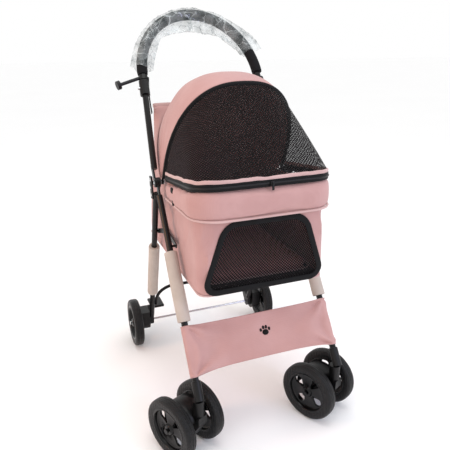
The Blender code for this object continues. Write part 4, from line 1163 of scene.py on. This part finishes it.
PLANE_NORMAL = Vector((0, -math.cos(POST_TILT), math.sin(POST_TILT)))
grip_line = resampled([arch_centre(math.pi * i / 80) for i in range(81)], 91)
foot = HINGE + POST_UP * 0.303
grip_line[0] = Vector((grip_line[0].x, foot.y, foot.z))
grip_line[-1] = Vector((grip_line[-1].x, foot.y, foot.z))


def end_soft(share):
    near = min(share, 1 - share) * 90
    return 1.0 if near > 2 else 0.90 + 0.05 * near


shape = sweep(grip_line, oval(0.029, 0.029, 20), PLANE_NORMAL, tapered=end_soft)
grip = piece("grip_sleeve", shape, GRIP_FOAM, "handle", ["handle_grip"])

# %% [markdown]
# ## Packing film
# The film is a flat polythene sleeve about 80 mm wide, pulled over the grip. It lies close outside
# the arch and hangs free inside it, and its right end stands out as a loose flap. Two layers cling
# to the foam and come together beyond it. Sharp folds come from the distance between the cells of a
# noise pattern, which gives ridges instead of waves.


# %% Film sleeve
def crumple(point, size, seed):
    distances, _ = noise.voronoi(point / size + Vector((seed, seed, seed)))
    return distances[1] - distances[0]


def between(table, at):
    """Reads a value from a short table of (place, value) pairs, smoothly between its rows."""
    for (a, low), (b, high) in zip(table, table[1:]):
        if at <= b:
            share = (at - a) / (b - a)
            return low + (high - low) * share * share * (3 - 2 * share)
    return table[-1][1]


OUTWARD = [(0, 0.030), (0.12, 0.024), (0.3, 0.020), (0.6, 0.021), (0.8, 0.026), (1, 0.046)]
INWARD = [(0, 0.030), (0.1, 0.034), (0.25, 0.030), (0.45, 0.050)]
INWARD += [(0.6, 0.056), (0.8, 0.044), (1, 0.030)]


def on_film(u, v):
    angle = math.pi * (0.035 + 0.85 * v)
    centre = arch_centre(angle)
    ahead = (arch_centre(angle + 0.01) - centre).normalized()
    out = ahead.cross(PLANE_NORMAL).normalized()
    if out.dot(centre - Vector((0, centre.y, 0.86))) < 0:
        out = -out
    turn = 2 * math.pi * u
    c, s = math.cos(turn), math.sin(turn)
    width = between(OUTWARD, v) if c > 0 else between(INWARD, v)
    reach = width * math.copysign(abs(c) ** 0.9, c)
    bulge = 0.0165 * math.exp(-((abs(reach) / 0.019) ** 2)) + 0.0016
    spot = centre + out * reach + PLANE_NORMAL * bulge * math.copysign(min(1.0, 1.6 * abs(s)), s)
    free = min(1.0, abs(reach) / 0.02)
    fold = 0.0065 * (crumple(spot, 0.034, 2.0) - 0.35) + 0.003 * (crumple(spot, 0.014, 7.0) - 0.3)
    sway = 0.006 * free * ripple(centre + out * reach, 0.045, 9.0)
    ragged = 0.009 * ripple(Vector((c, s, 3.0)), 0.7, v) * (1 if v in (0.0, 1.0) else 0)
    spot += PLANE_NORMAL * (sway + (fold if s > 0 else -fold) * (0.5 + 0.5 * free))
    edge = out * math.copysign(abs(fold), c) * 0.7 * abs(c) ** 6
    spot += edge + ahead * ragged
    off_axis = spot - centre
    off_axis -= ahead * off_axis.dot(ahead)
    if off_axis.length < 0.0158:
        spot += off_axis.normalized() * (0.0158 - off_axis.length)
    return spot


shape = laid_grid(52, 170, on_film, 0.17, 0.5, tube=True, capped=False)
film = piece("packing_film", shape, FILM, "handle", ["grip_film"])

# %% [markdown]
# ## Wheels
# Every wheel is moulded in one piece with a pebbled running band. Its profile is turned round the
# axle: boss, dished web, rim lip, shoulder, grooved tread. Four teardrop windows are then cut
# through the web. The wheel is made once and copied to the six wheel places.

# %% Turn the wheel
HALF_PROFILE = [
    (0.0042, 0.0115),
    (0.0105, 0.0115),
    (0.0125, 0.0098),
    (0.0140, 0.0050),
    (0.0300, 0.0024),
    (0.0455, 0.0026),
    (0.0485, 0.0045),
    (0.0500, 0.0118),
    (0.0512, 0.0130),
    (0.0530, 0.0131),
    (0.0544, 0.0120),
    (0.0565, 0.0128),
    (0.0650, 0.0140),
    (0.0700, 0.0136),
    (0.0732, 0.0112),
    (0.0746, 0.0082),
    (0.0741, 0.0074),
    (0.0741, 0.0066),
    (0.0748, 0.0058),
    (0.0750, 0.0020),
    (0.0742, 0.0012),
]


def turned_wheel():
    shape = bmesh.new()
    outline = HALF_PROFILE + [(radius, -height) for radius, height in reversed(HALF_PROFILE)]
    verts = [shape.verts.new((radius, 0, height)) for radius, height in outline]
    edges = [shape.edges.new((vert, verts[(i + 1) % len(verts)])) for i, vert in enumerate(verts)]
    bmesh.ops.spin(
        shape,
        geom=verts + edges,
        cent=(0, 0, 0),
        axis=(0, 0, 1),
        angle=2 * math.pi,
        steps=56,
        use_merge=True,
    )
    bmesh.ops.remove_doubles(shape, verts=shape.verts, dist=0.00001)
    bmesh.ops.recalc_face_normals(shape, faces=shape.faces)
    return shape


def teardrops():
    """Four upright cutters, wide near the rim and narrow near the boss."""
    shape = bmesh.new()
    for i in range(4):
        outline = arc(0.0115, 0.0345, 0, math.radians(-80), math.radians(160), 11)
        outline += arc(0.0040, 0.0190, 0, math.radians(80), math.radians(200), 7)
        face = shape.faces.new([shape.verts.new((x, y, -0.03)) for x, y in outline])
        pushed = bmesh.ops.extrude_face_region(shape, geom=[face])["geom"]
        tops = [item for item in pushed if isinstance(item, bmesh.types.BMVert)]
        bmesh.ops.translate(shape, verts=tops, vec=(0, 0, 0.06))
        quarter = Matrix.Rotation(math.pi / 2, 3, "Z")
        bmesh.ops.rotate(shape, cent=(0, 0, 0), matrix=quarter, verts=shape.verts)
    bmesh.ops.recalc_face_normals(shape, faces=shape.faces)
    bmesh.ops.translate(shape, verts=shape.verts, vec=-MIDDLE)
    return shape


def master_wheel():
    mesh = bpy.data.meshes.new("wheel")
    shape = turned_wheel()
    shape.to_mesh(mesh)
    shape.free()
    made = bpy.data.objects.new("wheel_pattern", mesh)
    bpy.context.scene.collection.objects.link(made)
    cut_with(made, teardrops())
    softened = made.modifiers.new("soft", "BEVEL")
    softened.width = 0.0006
    softened.segments = 2
    softened.limit_method = "ANGLE"
    softened.angle_limit = math.radians(50)
    bake(made)
    mesh = made.data
    bpy.data.objects.remove(made, do_unlink=True)
    return mesh


WHEEL = master_wheel()
print("wheel pattern:", len(WHEEL.polygons), "faces")

# %% [markdown]
# A copy is turned so that its own axis lies on the joint's axis. The faces outside the rim get the
# tread's finish, the rest the glossy hub's.


# %% Set the wheels on their axles
def set_wheel(joint, spin):
    axis = Vector(joint["axis"]).normalized()
    place = Vector(joint["pos_m"]) - MIDDLE
    shape = bmesh.new()
    shape.from_mesh(WHEEL)
    for face in shape.faces:
        middle = face.calc_center_median()
        face.material_index = 1 if math.hypot(middle.x, middle.y) > 0.0545 else 0
    turn = Vector((0, 0, 1)).rotation_difference(axis).to_matrix()
    bmesh.ops.rotate(shape, cent=(0, 0, 0), matrix=Matrix.Rotation(spin, 3, "Z"), verts=shape.verts)
    bmesh.ops.rotate(shape, cent=(0, 0, 0), matrix=turn, verts=shape.verts)
    bmesh.ops.translate(shape, verts=shape.verts, vec=place)
    node_name = joint["child"]
    made = piece(f"{node_name}_moulded", shape, HUB, node_name, [node_name])
    made.data.materials.append(TREAD)


for number, (name, joint) in enumerate(sorted(joints.items())):
    if "_roll_" in name:
        set_wheel(joint, 0.5 + number * 0.7)

# %% [markdown]
# Between each pair of front wheels a curved guard covers the fork. It is a strip bent round the
# axle with its long edges turned down.


# %% Caster guards
def guard(word):
    swivel = joints[f"caster_swivel_{word}"]
    wheels = [Vector(joints[f"front_roll_{word}_{letter}"]["pos_m"]) for letter in ("a", "b")]
    centre = (wheels[0] + wheels[1]) / 2 - MIDDLE
    lateral = (wheels[1] - wheels[0]).normalized()
    back = Vector((-lateral.y, lateral.x, 0))
    section = [(-0.026, -0.007), (-0.0262, -0.001), (-0.0235, 0.0012), (-0.012, 0.0026), (0, 0.003)]
    section += [(-x, h) for x, h in reversed(section[:-1])]

    def place(u, v):
        across, height = section[round(u * (len(section) - 1))]
        angle = math.radians(-64 + 168 * v)
        radius = 0.0505 + height
        out = back * math.sin(angle) + Vector((0, 0, 1)) * math.cos(angle)
        return centre + lateral * across + out * radius

    shape = laid_grid(len(section) - 1, 30, place, 0.06, 0.14)
    made = piece(f"caster_guard_{word}", shape, NYLON, swivel["child"])
    thicken(made, 0.0018, -1)


guard("left")
guard("right")

# %% [markdown]
# ## Hinge covers
# A moulded cover sits outside each side hinge, with a chrome rivet head at its top and another at
# its foot. The cover is a rounded plate; the rivets are shallow domes.


# %% Hinge covers
def dome_head(shape, centre, axis, radius, height):
    made = bmesh.ops.create_uvsphere(shape, u_segments=16, v_segments=8, radius=1.0)["verts"]
    turn = Vector((0, 0, 1)).rotation_difference(axis).to_matrix().to_4x4()
    size = Matrix.Diagonal((radius, radius, height, 1))
    bmesh.ops.transform(shape, matrix=Matrix.Translation(centre) @ turn @ size, verts=made)


for word, side in SIDES:
    shape = bmesh.new()
    tilt = Matrix.Rotation(-0.12, 3, "X")
    plate_centre = (side * 0.1966, HINGE.y + 0.002, HINGE.z - 0.012)
    block(shape, (0.0045, 0.021, 0.058), plate_centre, 0.0016, tilt)
    piece(f"hinge_cover_{word}", shape, NYLON, "chassis")
    shape = bmesh.new()
    for drop, radius in ((0.008, 0.0052), (-0.012, 0.0036), (-0.031, 0.0044)):
        spot = Vector((side * 0.199, HINGE.y + 0.002 + drop * 0.1, HINGE.z + drop))
        dome_head(shape, spot, Vector((side, 0, 0)), radius, 0.0022)
    piece(f"hinge_studs_{word}", shape, CHROME, "chassis")

# %% [markdown]
# ## Slot for the side strap
# Near each hinge the rim has a bound slot with a loop of webbing in it, for the strap that ties the
# folded stroller.

# %% Side slots
for word, side in SIDES:
    shape = bmesh.new()
    block(shape, (0.0030, 0.0095, 0.040), (side * 0.1722, -0.078, 0.583), 0.0010)
    block(shape, (0.0052, 0.0170, 0.013), (side * 0.1730, -0.078, 0.600), 0.0022)
    piece(f"side_slot_{word}", shape, WEBBING, "chassis")

# %% [markdown]
# ## Light and camera
# The stroller stands on a pale floor in a white room. A wide lamp overhead gives the soft shading
# from above, a warm one stands on the left and a cool one on the right, which is why the cloth looks
# salmon on one side and mauve on the other.

# %% Floor and room
shape = bmesh.new()
bmesh.ops.create_grid(shape, x_segments=2, y_segments=2, size=60.0)
mesh = bpy.data.meshes.new("floor")
shape.to_mesh(mesh)
shape.free()
floor = bpy.data.objects.new("floor", mesh)
bpy.context.scene.collection.objects.link(floor)
FLOOR_PAINT, tree, shader = new_finish("pale_floor_paint", "#f3f2f0", 0.85)
where = node(tree, "ShaderNodeTexCoord").outputs["Object"]
cloudy = node(tree, "ShaderNodeTexNoise", {"Vector": where, "Scale": 0.7, "Detail": 2.0})
mixed = node(tree, "ShaderNodeMix", {"Factor": cloudy.outputs["Fac"]}, data_type="RGBA")
mixed.inputs["A"].default_value = colour("#fcfcfc")
mixed.inputs["B"].default_value = colour("#ffffff")
tree.links.new(mixed.outputs["Result"], shader.inputs["Base Color"])
mesh.materials.append(FLOOR_PAINT)

world = bpy.data.worlds.new("white_room")
bpy.context.scene.world = world
world.use_nodes = True
sky = world.node_tree.nodes["Background"]
sky.inputs["Color"].default_value = (1, 1, 1, 1)
sky.inputs["Strength"].default_value = 1.0


# %% Lamps
def lamp(name, place, aim, size, power, tint):
    data = bpy.data.lights.new(name, "AREA")
    data.shape = "DISK"
    data.size = size
    data.energy = power
    data.color = colour(tint)[:3]
    made = bpy.data.objects.new(name, data)
    made.location = place
    made.rotation_euler = (Vector(aim) - Vector(place)).to_track_quat("-Z", "Y").to_euler()
    bpy.context.scene.collection.objects.link(made)


lamp("overhead", (0.1, -0.5, 2.8), (0, 0, 0.5), 1.4, 16, "#ffffff")
lamp("warm_left", (-2.0, -0.1, 1.2), (0, 0, 0.5), 0.5, 9, "#ffb888")
lamp("cool_right", (1.3, -2.2, 1.5), (0, 0, 0.4), 0.8, 13, "#cfd2ff")

# %% [markdown]
# The camera stands to the front left, a little above the hood, and looks down at the stroller. Its
# place and angles are set as numbers so that the stroller fills the frame.

# %% Camera
azimuth, elevation, roll = math.radians(-20.95), math.radians(19.23), math.radians(-0.51)
behind = Vector(
    (
        math.sin(azimuth) * math.cos(elevation),
        -math.cos(azimuth) * math.cos(elevation),
        math.sin(elevation),
    )
)
right = Vector((math.cos(azimuth), math.sin(azimuth), 0))
above = behind.cross(right)
turned_right = right * math.cos(roll) + above * math.sin(roll)
turned_up = above * math.cos(roll) - right * math.sin(roll)
lens = bpy.data.cameras.new("camera")
lens.lens = 39.44
lens.sensor_width = 36.0
camera = bpy.data.objects.new("camera", lens)
rotation = Matrix((turned_right, turned_up, behind)).transposed().to_4x4()
camera.matrix_world = Matrix.Translation(Vector((-0.457, -1.164, 0.903)) + MIDDLE) @ rotation
bpy.context.scene.collection.objects.link(camera)
bpy.context.scene.camera = camera
bpy.context.scene.view_settings.view_transform = "Standard"
